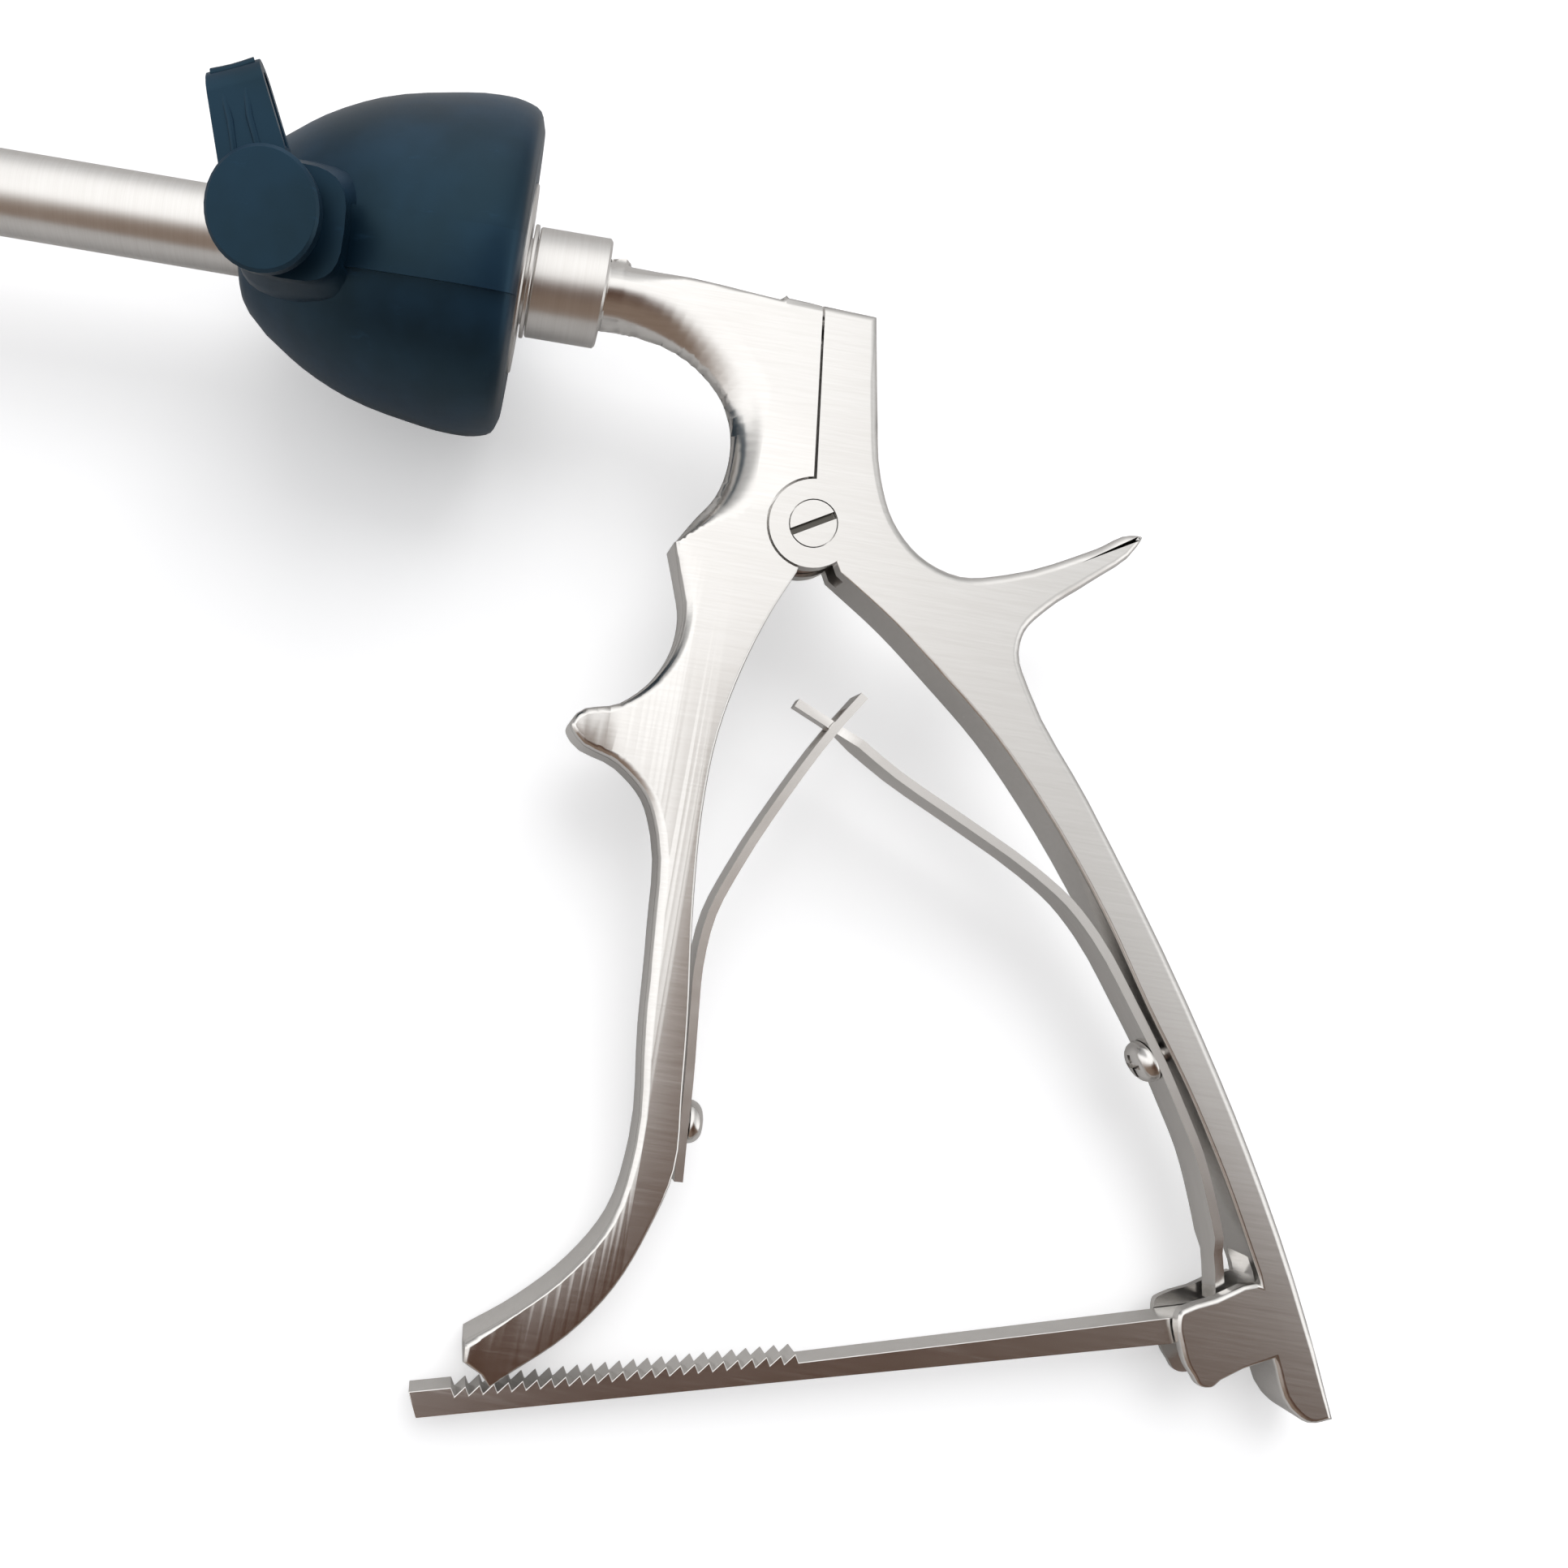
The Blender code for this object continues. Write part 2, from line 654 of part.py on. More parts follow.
def jaw_housing():
    """A round fork on the tube's end, with a slot for the jaws' tails and guide slots for the pin."""
    shoulder = JAW_PIN_TO_TUBE - SEAT_GAP
    made = turned("jaw_housing", [
        (-HOUSING_NOSE, 0.0),
        (-HOUSING_NOSE, TUBE_RADIUS),
        (shoulder, TUBE_RADIUS),
        (shoulder, TUBE_BORE - PIN_GAP),
        (shoulder + SPIGOT_LENGTH, TUBE_BORE - PIN_GAP),
        (shoulder + SPIGOT_LENGTH, 0.0),
    ], HOUSING, SATIN_STEEL, closed=False, steps=40)
    reach = 2 * TUBE_RADIUS
    slot = box("housing_slot", (-reach, -reach, -HOUSING_SLOT), (TAIL_ROOM, reach, HOUSING_SLOT), HOUSING)
    bore = cylinder("housing_bore", ROD_RADIUS + SLIDE_GAP, 0, 2 * reach + shoulder, HOUSING)
    pin = cylinder("housing_pin_hole", JAW_PIN_RADIUS + PIN_GAP, -reach, reach, HOUSING, "Z")
    rounded = [
        (HOUSING_NOSE * math.cos(a), HOUSING_NOSE * math.sin(a))
        for a in np.linspace(math.pi / 2, 3 * math.pi / 2, 13)
    ]
    nose = flat_outline(
        "housing_nose", [*rounded, (0, -reach), (-reach, -reach), (-reach, reach), (0, reach)],
        -reach, reach, HOUSING,
    )
    run = np.array([[DRIVE_PIN_REST, 0.0], [DRIVE_PIN_REST + ROD_TRAVEL, 0.0]])
    guide = flat_outline(
        "housing_guide_slot", track(run, DRIVE_PIN_RADIUS + SLIDE_GAP), -reach, reach, HOUSING
    )
    cut(made, slot, bore, pin, nose, guide)


def jaw_pivot_pin():
    reach = math.sqrt(TUBE_RADIUS**2 - (JAW_PIN_RADIUS * 1.3) ** 2) - SEAT_GAP
    smooth(cylinder("jaw_pivot_pin", JAW_PIN_RADIUS, -reach, reach, HOUSING, "Z", (0, 0),
                    PARTS, SCREW_STEEL, sides=24))


def cam_path(count=9):
    """The drive pin's path in a jaw that turns evenly from open to shut as the pin is drawn back."""
    path = []
    for share in np.linspace(0, 1, count):
        back = DRIVE_PIN_REST + share * ROD_TRAVEL
        angle = JAW_OPENING * (1 - share)
        path.append((back * math.cos(angle), back * math.sin(angle)))
    return np.array(path)


def jaw_tail(parent):
    """The tail behind the pivot, a boss round it and the web to the jaw's body."""
    low = BLADE_HALF + SLIDE_GAP
    high = HOUSING_SLOT - SLIDE_GAP
    half = DRIVE_PIN_RADIUS + PIN_GAP + TAIL_WALL
    root = HOUSING_NOSE + SLIDE_GAP
    boss = root - 2 * SLIDE_GAP
    tail = flat_outline("jaw_tail", track(cam_path(), half), low, high, parent)
    disc = cylinder("jaw_boss", boss, low, high, parent, "Z", (0, 0))
    web = [
        (-root - 3.4 * MM, PIN_GAP + TOOTH_DEPTH), (-2.0 * MM, PIN_GAP + TOOTH_DEPTH), (0, -0.4 * MM),
        (DRIVE_PIN_REST, 0.2 * MM), (DRIVE_PIN_REST, 3.0 * MM), (0, boss - 0.1 * MM),
        (-root - 3.4 * MM, 3.6 * MM),
    ]
    link = flat_outline("jaw_web", web, low, high, parent)
    return tail, disc, link


def jaw_body(name, parent):
    """A tapering half-round jaw with a row of cross teeth, a window and a scissor tail."""
    root = HOUSING_NOSE + 2 * SLIDE_GAP
    nose = [
        (-JAW_LENGTH + 3.2 * MM * (1 - math.sin(a)), 3.3 * MM * math.cos(a))
        for a in np.linspace(math.pi / 2, 0, 5)
    ]
    body = turned(name, [*nose, (-12 * MM, 4.7 * MM), (0, TUBE_RADIUS - 0.1 * MM), (0, 0)],
                  parent, SATIN_STEEL, closed=False, steps=28)
    first = -JAW_LENGTH + 4.0 * MM
    far = 2 * TUBE_RADIUS
    teeth = [(first + TOOTH_PITCH * k, PIN_GAP + d)
             for k in range(JAW_TEETH) for d in (TOOTH_DEPTH, 0.0)]
    last = first + TOOTH_PITCH * JAW_TEETH
    grip = [(-JAW_LENGTH - far, -far), (-JAW_LENGTH - far, PIN_GAP + 0.2 * MM), (first, PIN_GAP + 0.2 * MM),
            *teeth[1:], (last, PIN_GAP + TOOTH_DEPTH), (far, PIN_GAP + TOOTH_DEPTH), (far, -far)]
    cut(body, flat_outline(f"{name}_grip", grip, -far, far, parent))
    arc = [(-root * math.cos(a), root * math.sin(a)) for a in np.linspace(-math.pi / 2, math.pi / 2, 15)]
    seat = flat_outline(f"{name}_root", [*arc, (far, far), (far, -far)], -far, far, parent)
    cut(body, seat)
    window = track(np.array([[-JAW_LENGTH + 8 * MM, 0.0], [-11.5 * MM, 0.0]]), 1.3 * MM)
    opening = flat_outline(f"{name}_window", window, -far, far, parent)
    opening.rotation_euler = (math.pi / 2, 0, 0)
    cut(body, opening)
    join(body, *jaw_tail(parent))
    slot = flat_outline(f"{name}_cam", track(cam_path(), DRIVE_PIN_RADIUS + PIN_GAP), -far, far, parent)
    cut(body, slot)
    cut(body, cylinder(f"{name}_pin_hole", JAW_PIN_RADIUS + PIN_GAP, -far, far, parent, "Z"))
    return body


def jaws():
    jaw_body("upper_jaw", UPPER_JAW)
    turned_over = anchor("lower_jaw_turned", (0, 0, 0), LOWER_JAW, (math.pi, 0, 0))
    jaw_body("lower_jaw", turned_over)


# Handle

FIXED = anchor("handle_pivot", (0, 0, 0), ORIGIN)
MOVING = anchor("moving_handle_hinge", (0, 0, 0), ORIGIN)
SLIT = ((-3.4 * MM, 27.2 * MM), (-0.95 * MM, 5.9 * MM))
FRONT_PATH = trace([(*p, 0.0, False) for p in FRONT_LEAF], 3, closed=False)
REAR_PATH = trace([(*p, 0.0, False) for p in REAR_LEAF], 3, closed=False)


def slit_side(name, parent, offset_top, offset_bottom, far):
    """A block on one side of the slit between the two handles, above the pivot."""
    (x_top, y_top), (x_low, y_low) = SLIT
    lean = (x_top - x_low) / (y_top - y_low)
    reach = 20 * MM
    top = (x_top + offset_top + lean * reach, y_top + reach)
    low_y = 2.8 * MM
    low = (x_low + offset_bottom + lean * (low_y - y_low), low_y)
    points = [top, low, (far, low_y), (far, y_top + reach)]
    return flat_outline(name, points, -2 * HANDLE_HALF, 2 * HANDLE_HALF, parent)


def narrow_neck(made):
    """Draws the plate in towards the round neck at the collar."""
    start, end = -29.9 * MM, -19.0 * MM
    shape = bmesh.new()
    shape.from_mesh(made.data)
    for share in np.linspace(0, 1, 13):
        bmesh.ops.bisect_plane(
            shape, geom=[*shape.verts, *shape.edges, *shape.faces], dist=0.02 * MM, clear_inner=share == 0,
            plane_co=(start + share * (end - start), 0, 0), plane_no=(1, 0, 0),
        )
    bmesh.ops.holes_fill(shape, edges=[edge for edge in shape.edges if edge.is_boundary], sides=0)
    for vert in shape.verts:
        share = min(1.0, max(0.0, (vert.co.x - start) / (end - start)))
        ease = share * share * (3 - 2 * share)
        vert.co.z *= (1 - ease) * NECK_RADIUS / HANDLE_HALF + ease
    shape.to_mesh(made.data)
    shape.free()


def screw_hole(name, path, height, parent):
    """A blind hole for a leaf's screw, square to the leaf."""
    point, out = seat_on(path, height)
    hole = cylinder(name, LEAF_SCREW_SHANK + PIN_GAP, -LEAF_SCREW_LENGTH - 0.5 * MM, 3 * MM, parent, sides=20)
    hole.location = (point.x, point.y, 0)
    hole.rotation_euler = (0, 0, math.atan2(out.y, out.x))
    return hole


def fixed_handle():
    """The front handle: neck, head with the rod's bore, finger rests, tongue and catch."""
    made = plate("fixed_handle", trace(FIXED_OUTLINE, 4), HANDLE_HALF, FIXED, HANDLE_STEEL)
    narrow_neck(made)
    smooth(made)
    cut(made, slit_side("fixed_slit", FIXED, 0, 0, 20 * MM))
    join(made, cylinder("tongue", TONGUE_RADIUS, -TONGUE_HALF, TONGUE_HALF, FIXED, "Z", sides=40))
    for side in (-1, 1):
        faces = sorted((side * TONGUE_HALF, side * 2 * HANDLE_HALF))
        cut(made, cylinder(f"pocket_{side}", BOSS_RADIUS + SLIDE_GAP, *faces, FIXED, "Z", sides=48))
    cut(made, cylinder("tongue_hole", SCREW_SHANK_RADIUS + PIN_GAP, -HANDLE_HALF, HANDLE_HALF, FIXED, "Z"))
    spigot_radius = NECK_RADIUS - 0.5 * MM
    join(made, cylinder("neck_spigot", spigot_radius, TUBE_START + 2 * SLIDE_GAP, COLLAR_END + 3 * MM, SHAFT))
    cut(made, cylinder("rod_bore", ROD_RADIUS + 2 * SLIDE_GAP, TUBE_START - 2 * MM, 5 * MM, SHAFT))
    cut(made, screw_hole("front_screw_hole", FRONT_PATH, FRONT_SCREW_Y, FIXED))


def moving_handle():
    """The rear handle: forked boss, thumb spur, grip, and the bracket for the ratchet bar."""
    made = plate("moving_handle", trace(MOVING_OUTLINE, 4), HANDLE_HALF, MOVING, HANDLE_STEEL)
    smooth(made)
    cut(made, slit_side("moving_slit", MOVING, 0.22 * MM, 0.4 * MM, -20 * MM))
    join(made, plate("bracket", trace(BRACKET_OUTLINE, 3), HANDLE_HALF, MOVING, collection=CUTTERS))
    join(made, cylinder("boss", BOSS_RADIUS, -HANDLE_HALF, HANDLE_HALF, MOVING, "Z", sides=48))
    mortise = TONGUE_HALF + SLIDE_GAP
    reach = TONGUE_RADIUS + SLIDE_GAP
    cut(made, box("mortise", (-20 * MM, -9 * MM, -mortise), (reach, reach + 0.4 * MM, mortise), MOVING))
    cut(made, cylinder("screw_hole", SCREW_SHANK_RADIUS + PIN_GAP, -2 * HANDLE_HALF, 2 * HANDLE_HALF,
                       MOVING, "Z"))
    seat = HANDLE_HALF - SCREW_HEAD_HEIGHT - SEAT_GAP
    cut(made, cylinder("screw_seat", SCREW_HEAD_RADIUS + PIN_GAP, seat, 2 * HANDLE_HALF, MOVING, "Z"))
    ball = BALL_RADIUS + PIN_GAP + 0.05 * MM
    floor = SHAFT_HEIGHT - BALL_RADIUS - SLIDE_GAP
    top = SHAFT_HEIGHT + 5 * MM
    cut(made, box("ball_slot", (BALL_X - ball, floor, -ball), (BALL_X + ball, top, ball), MOVING))
    neck = ROD_NECK_RADIUS + SLIDE_GAP
    cut(made, box("neck_slot", (-20 * MM, SHAFT_HEIGHT - ROD_NECK_RADIUS - 3 * SLIDE_GAP, -neck),
                  (BALL_X, top, neck), MOVING))
    bar_slot = BAR_HALF + SLIDE_GAP
    cut(made, box("bracket_slot", (50 * MM, -110 * MM, -bar_slot),
                  (BAR_PIVOT[0] + BAR_HEEL + 2.2 * MM, -80.6 * MM, bar_slot), MOVING))
    cut(made, cylinder("bar_pin_hole", BAR_PIN_RADIUS + PIN_GAP, -HANDLE_HALF - MM,
                       HANDLE_HALF - BAR_PIN_COVER, MOVING, "Z", BAR_PIVOT, sides=20))
    cut(made, screw_hole("rear_screw_hole", REAR_PATH, REAR_SCREW_Y, MOVING))


def pivot_screw():
    """A slotted screw, flush with both sides of the boss."""
    top = HANDLE_HALF
    seat = HANDLE_HALF - SCREW_HEAD_HEIGHT
    made = cylinder("pivot_screw", SCREW_HEAD_RADIUS, seat, top, MOVING, "Z", (0, 0), PARTS, SCREW_STEEL,
                    sides=40)
    smooth(made)
    join(made, cylinder("pivot_shank", SCREW_SHANK_RADIUS, -HANDLE_HALF, seat + 0.4 * MM, MOVING, "Z"))
    slot_half = 0.45 * MM
    slot_low, slot_high = (-4 * MM, -slot_half, top - 0.8 * MM), (4 * MM, slot_half, top + MM)
    slot = box("pivot_screw_slot", slot_low, slot_high, MOVING)
    slot.rotation_euler = (0, 0, SCREW_SLOT_ANGLE)
    cut(made, slot)


def leaf_screw(name, path, height, parent):
    """A round-headed cross-recess screw that holds a leaf against its handle."""
    point, out = seat_on(path, height)
    base = LEAF_THICKNESS / 2 + SEAT_GAP
    dome = [
        (base + LEAF_SCREW_RISE * math.sin(a), LEAF_SCREW_HEAD * math.cos(a) ** 0.55)
        for a in np.linspace(0.12, 1.35, 6)
    ]
    made = turned(name, [
        (-LEAF_SCREW_LENGTH, 0.0),
        (-LEAF_SCREW_LENGTH, LEAF_SCREW_SHANK),
        (base, LEAF_SCREW_SHANK),
        (base, LEAF_SCREW_HEAD - 0.1 * MM),
        *dome,
        (base + LEAF_SCREW_RISE, 0.0),
    ], parent, SCREW_STEEL, closed=False, steps=24)
    made.rotation_euler = (0, -math.pi / 2, 0)
    seat = anchor(f"{name}_seat", (point.x, point.y, 0), parent, (0, 0, math.atan2(out.y, out.x)))
    made.parent = seat
    top = base + LEAF_SCREW_RISE
    for turn in (0, 1):
        arms = (1.5 * MM, 0.32 * MM)
        y, z = arms if turn else arms[::-1]
        cut(made, box(f"{name}_recess_{turn}", (top - 0.9 * MM, -y, -z), (top + MM, y, z), seat))


def front_leaf():
    """The leaf on the front handle, with a window that the other leaf's tongue passes through."""
    half = np.full(len(FRONT_PATH), LEAF_HALF)
    made = leaf("front_leaf_spring", FRONT_PATH, half, FIXED)
    crossing, out = seat_on(FRONT_PATH, -23.9 * MM)
    window = box("leaf_window", (-3.6 * MM, -3 * MM, -TONGUE_END_HALF - 2 * SLIDE_GAP),
                 (2.8 * MM, 3 * MM, TONGUE_END_HALF + 2 * SLIDE_GAP), FIXED)
    window.location = (crossing.x, crossing.y, 0)
    window.rotation_euler = (0, 0, math.atan2(out.x, -out.y))
    cut(made, window, screw_hole("front_leaf_hole", FRONT_PATH, FRONT_SCREW_Y, FIXED))


def rear_leaf():
    """The leaf on the rear handle: a narrow tongue at the crossing and a tail on the bar's heel."""
    half = np.full(len(REAR_PATH), LEAF_HALF)
    half[REAR_PATH[:, 0] < 9.6 * MM] = TONGUE_END_HALF
    half[REAR_PATH[:, 1] < -80.0 * MM] = TAIL_END_HALF
    made = leaf("rear_leaf_spring", REAR_PATH, half, MOVING)
    cut(made, screw_hole("rear_leaf_hole", REAR_PATH, REAR_SCREW_Y, MOVING))


# Ratchet

BAR = anchor("ratchet_bar_hinge", (*BAR_PIVOT, 0), MOVING, (0, 0, BAR_ANGLE))


def ratchet_bar():
    """A flat bar, sawtoothed on top so that it slips one way under the catch and holds the other."""
    half = BAR_HEIGHT / 2
    heel = [(half * math.cos(a) + BAR_HEEL - half, half * math.sin(a))
            for a in np.linspace(-math.pi / 2, math.pi / 2, 7)]
    steep = 0.3 * MM
    teeth = []
    for k in range(RATCHET_TEETH):
        tip = RATCHET_START + RATCHET_PITCH * k
        teeth += [(-tip + steep, half - RATCHET_DEPTH), (-tip, half)]
    end = RATCHET_START + RATCHET_PITCH * RATCHET_TEETH
    outline = [
        *heel, *teeth,
        (-end + 2 * steep, half - RATCHET_DEPTH), (-end, half),
        (-BAR_LENGTH, half), (-BAR_LENGTH + 0.6 * MM, -half),
    ]
    made = flat_outline("ratchet_bar", outline, -BAR_HALF, BAR_HALF, BAR, PARTS, HANDLE_STEEL)
    cut(made, cylinder("bar_hole", BAR_PIN_RADIUS + PIN_GAP, -HANDLE_HALF, HANDLE_HALF, BAR, "Z", sides=20))


def ratchet_pin():
    """The bar's pin, fed in from the far side."""
    pin_end = HANDLE_HALF - BAR_PIN_COVER - SEAT_GAP
    smooth(cylinder("ratchet_pin", BAR_PIN_RADIUS, -HANDLE_HALF, pin_end, MOVING,
                    "Z", BAR_PIVOT, PARTS, SCREW_STEEL, sides=20))


# Cone

CONE_SLIDE = anchor("cone_slide", (0, 0, 0), SHAFT)
CONE_TURN = anchor("cone_turn", (0, 0, 0), CONE_SLIDE)
CLAMP = anchor("clamp_axis", (CLAMP_X, 0, 0), CONE_TURN, (CLAMP_TURN, 0, 0))
LEVER = anchor("clamp_lever_hinge", (0, 0, 0), CLAMP, (0, 0, LEVER_LEAN))
BORE = TUBE_RADIUS + CONE_BORE_GAP
SLEEVE_RADIUS = BORE + SLEEVE_WALL


def cone_skin(extra=0.0):
    """The outer curve of the cone, nose to rear, moved out by a height."""
    return [(x, r + extra) for x, r, _ in trace(CONE_SKIN, 3, closed=False)]


def cone_body():
    """The moulded cone: skin, bore, rib, saddle for the clamp, and a step for the metal sleeve."""
    counterbore = CONE_REAR - DISC_THICKNESS + DISC_PROUD
    sleeve_end = counterbore - SLEEVE_LENGTH - SEAT_GAP
    inner = [
        (CONE_REAR, DISC_RADIUS + PIN_GAP), (counterbore - SEAT_GAP, DISC_RADIUS + PIN_GAP),
        (counterbore - SEAT_GAP, SLEEVE_RADIUS + PIN_GAP), (sleeve_end, SLEEVE_RADIUS + PIN_GAP),
        (sleeve_end, BORE), (CONE_SKIN[0][0] * MM, BORE),
    ]
    made = turned("cone_body", [*cone_skin(), *inner], CONE_TURN, NAVY_PLASTIC, steps=48)
    rib = turned("rib_skin", [*cone_skin(RIB_HEIGHT), (CONE_REAR, 12 * MM), (CONE_SKIN[0][0] * MM, 7.5 * MM)],
                 CONE_TURN, collection=CUTTERS, steps=48)
    front = CLAMP_X
    slab = box("rib_slab", (0, -RIB_WIDTH / 2, 13 * MM), (CONE_REAR - front, RIB_WIDTH / 2, 30 * MM), CLAMP)
    boolean(rib, slab, "INTERSECT")
    join(made, rib)
    join(made, saddle())
    far = 60 * MM
    cut(made, cylinder("bush_hole", BUSH_RADIUS + PIN_GAP, 11.7 * MM, far, CLAMP, "Z"))
    cut(made, cylinder("stud_hole", STUD_RADIUS + SLIDE_GAP, 0, 13 * MM, CLAMP, "Z"))


def saddle():
    """A block that rises from the cone under the clamp, waisted below its top."""
    shape = bmesh.new()
    levels = ((7.6, 0.98), (13.0, 1.0), (15.5, 0.93), (17.6, 0.80), (19.6, 0.74), (SADDLE_TOP / MM, 0.78))
    rows = []
    for height, size in levels:
        row = []
        for k in range(28):
            a = 2 * math.pi * k / 28
            square = 0.62
            x = math.copysign(abs(math.cos(a)) ** square, math.cos(a)) * SADDLE_LENGTH / 2
            y = math.copysign(abs(math.sin(a)) ** square, math.sin(a)) * SADDLE_WIDTH / 2
            row.append(shape.verts.new((x * size + SADDLE_SHIFT * size, y * size, height * MM)))
        rows.append(row)
    for low, high in zip(rows, rows[1:]):
        for i in range(28):
            j = (i + 1) % 28
            shape.faces.new((low[i], low[j], high[j], high[i]))
    shape.faces.new(rows[0])
    shape.faces.new(rows[-1])
    bmesh.ops.recalc_face_normals(shape, faces=shape.faces)
    return from_bmesh("saddle", shape, CUTTERS, CLAMP)


def cone_sleeve():
    """The metal lining that runs on the tube, with its disc let into the cone's rear face."""
    back = CONE_REAR + DISC_PROUD
    front = back - DISC_THICKNESS
    turned("cone_sleeve", [
        (front - SLEEVE_LENGTH, BORE),
        (front - SLEEVE_LENGTH, SLEEVE_RADIUS),
        (front, SLEEVE_RADIUS),
        (front, DISC_RADIUS),
        (back - 0.2 * MM, DISC_RADIUS),
        (back, DISC_RADIUS - 0.2 * MM),
        (back, BORE),
    ], CONE_SLIDE, SATIN_STEEL, steps=40)


def clamp_bush():
    """The threaded insert in the saddle."""
    made = cylinder("clamp_bush", BUSH_RADIUS, 11.7 * MM + SEAT_GAP, SADDLE_TOP, CLAMP, "Z", (0, 0), PARTS,
                    SCREW_STEEL, sides=28)
    smooth(made)
    cut(made, cylinder("bush_bore", STUD_RADIUS + PIN_GAP, 0, 60 * MM, CLAMP, "Z"))


def clamp_stud():
    """The screw that the lever turns, with a plastic tip that presses on the tube."""
    tip = BORE + 1.3 * MM
    smooth(cylinder("clamp_stud", STUD_RADIUS, tip + SEAT_GAP, HUB_TOP - 1.6 * MM, LEVER, "Z", (0, 0), PARTS,
                    SCREW_STEEL, sides=24))
    made = cylinder("clamp_tip", STUD_RADIUS - 0.1 * MM, BORE, tip, CLAMP, "Z", (0, 0), PARTS, WHITE_PLASTIC,
                    sides=24)
    smooth(made)
    cut(made, cylinder("tip_seat", BORE, -10 * MM, 10 * MM, CLAMP))


def clamp_lever():
    """A round cap on a stem, with a hollow strap for the thumb that leaves it sideways."""
    low = HUB_TOP - HUB_THICKNESS
    edge = 0.35 * MM
    profile = [
        (SADDLE_TOP + SLIDE_GAP, 0.0), (SADDLE_TOP + SLIDE_GAP, HUB_STEM_RADIUS), (low, HUB_STEM_RADIUS),
        (low, HUB_RADIUS - edge), (low + edge, HUB_RADIUS), (HUB_TOP - edge, HUB_RADIUS),
        (HUB_TOP, HUB_RADIUS - edge), (HUB_TOP, 0.0),
    ]
    made = turned("clamp_lever", profile, LEVER, NAVY_PLASTIC, closed=False, steps=40)
    made.rotation_euler = (0, math.pi, 0)
    top = low + 1.4 * MM
    bottom = top - LEVER_DEPTH
    strap = lever_strap("lever_strap", 0.0, bottom, top)
    hollow = lever_strap("lever_hollow", LEVER_WALL, bottom, top)
    boolean(strap, hollow, "DIFFERENCE")
    join(made, strap)
    hole = cylinder("lever_hole", STUD_RADIUS + PIN_GAP, 0, HUB_TOP - 1.6 * MM + SEAT_GAP, LEVER, "Z")
    cut(made, hole)


def lever_strap(name, inset, bottom, top):
    """The strap's outer or inner form: a tapering loft along its length with a round tip."""
    shape = bmesh.new()
    start = HUB_STEM_RADIUS * 0.5 if not inset else HUB_RADIUS - 0.4 * MM
    reach = LEVER_REACH - inset
    middle, half = (bottom + top) / 2, (top - bottom) / 2 - inset
    side = 1.0 if not inset else 2.0
    profile = [(start, -half), (start, half)]
    profile += [
        (reach - half + half * math.sin(a), half * math.cos(a)) for a in np.linspace(0, math.pi, 9)
    ]
    rows = []
    for edge in (-1, 1):
        row = []
        for along, height in profile:
            share = (along - HUB_STEM_RADIUS) / (LEVER_REACH - HUB_STEM_RADIUS)
            width = (LEVER_BASE_HALF + share * (LEVER_TIP_HALF - LEVER_BASE_HALF)) * side
            row.append(shape.verts.new((edge * width, along, middle + height)))
        rows.append(row)
    count = len(profile)
    for i in range(count):
        j = (i + 1) % count
        shape.faces.new((rows[0][i], rows[0][j], rows[1][j], rows[1][i]))
    shape.faces.new(rows[0])
    shape.faces.new(rows[1])
    bmesh.ops.recalc_face_normals(shape, faces=shape.faces)
    return from_bmesh(name, shape, CUTTERS, LEVER)


def cone_seal():
    """A rubber ring in the cone's nose that keeps gas from passing along the tube."""
    middle = CONE_SKIN[0][0] * MM + 4.2 * MM
    groove = ring_profile(middle - 1.0 * MM, middle + 1.0 * MM, BORE - 0.5 * MM, BORE + 1.6 * MM)
    cutter = turned("seal_groove", groove, CONE_TURN, collection=CUTTERS, steps=40)
    cut(bpy.data.objects["cone_body"], cutter)
    section = 0.8 * MM
    ring = [
        (middle + section * math.cos(a), BORE - 0.15 * MM + section + section * math.sin(a))
        for a in np.linspace(math.pi, -math.pi, 11)[:-1]
    ]
    turned("cone_seal", ring, CONE_TURN, BLACK_RUBBER, steps=32)


def set_on_table():
    """Moves the whole model so that the middle of its underside is the origin."""
    bpy.context.view_layer.update()
    graph = bpy.context.evaluated_depsgraph_get()
    corners = []
    for made in PARTS.objects:
        if made.type == "EMPTY":
            continue
        shape = made.evaluated_get(graph)
        mesh = shape.to_mesh()
        points = np.empty(len(mesh.vertices) * 3, np.float32)
        mesh.vertices.foreach_get("co", points)
        matrix = np.array(shape.matrix_world)
        points = points.reshape(-1, 3) @ matrix[:3, :3].T + matrix[:3, 3]
        corners += [points.min(axis=0), points.max(axis=0)]
        shape.to_mesh_clear()
    low, high = np.min(corners, axis=0), np.max(corners, axis=0)
    ORIGIN.location = (-(low[0] + high[0]) / 2, -(low[1] + high[1]) / 2, -low[2])
    bpy.context.view_layer.update()


outer_tube()
tube_collar()
collar_ring()
rod_guides()
actuating_rod()
drive_pin()
jaw_housing()
jaw_pivot_pin()
jaws()
fixed_handle()
moving_handle()
pivot_screw()
front_leaf()
rear_leaf()
leaf_screw("front_leaf_screw", FRONT_PATH, FRONT_SCREW_Y, FIXED)
leaf_screw("rear_leaf_screw", REAR_PATH, REAR_SCREW_Y, MOVING)
ratchet_bar()
ratchet_pin()
cone_body()
cone_sleeve()
cone_seal()
clamp_bush()
clamp_stud()
clamp_lever()
set_on_table()
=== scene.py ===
"""Endoscopic grasping forceps on a pale table: the looks of each piece, group by group."""

import json
import math

import bmesh
import bpy
from mathutils import Matrix, Vector
from mathutils.bvhtree import BVHTree


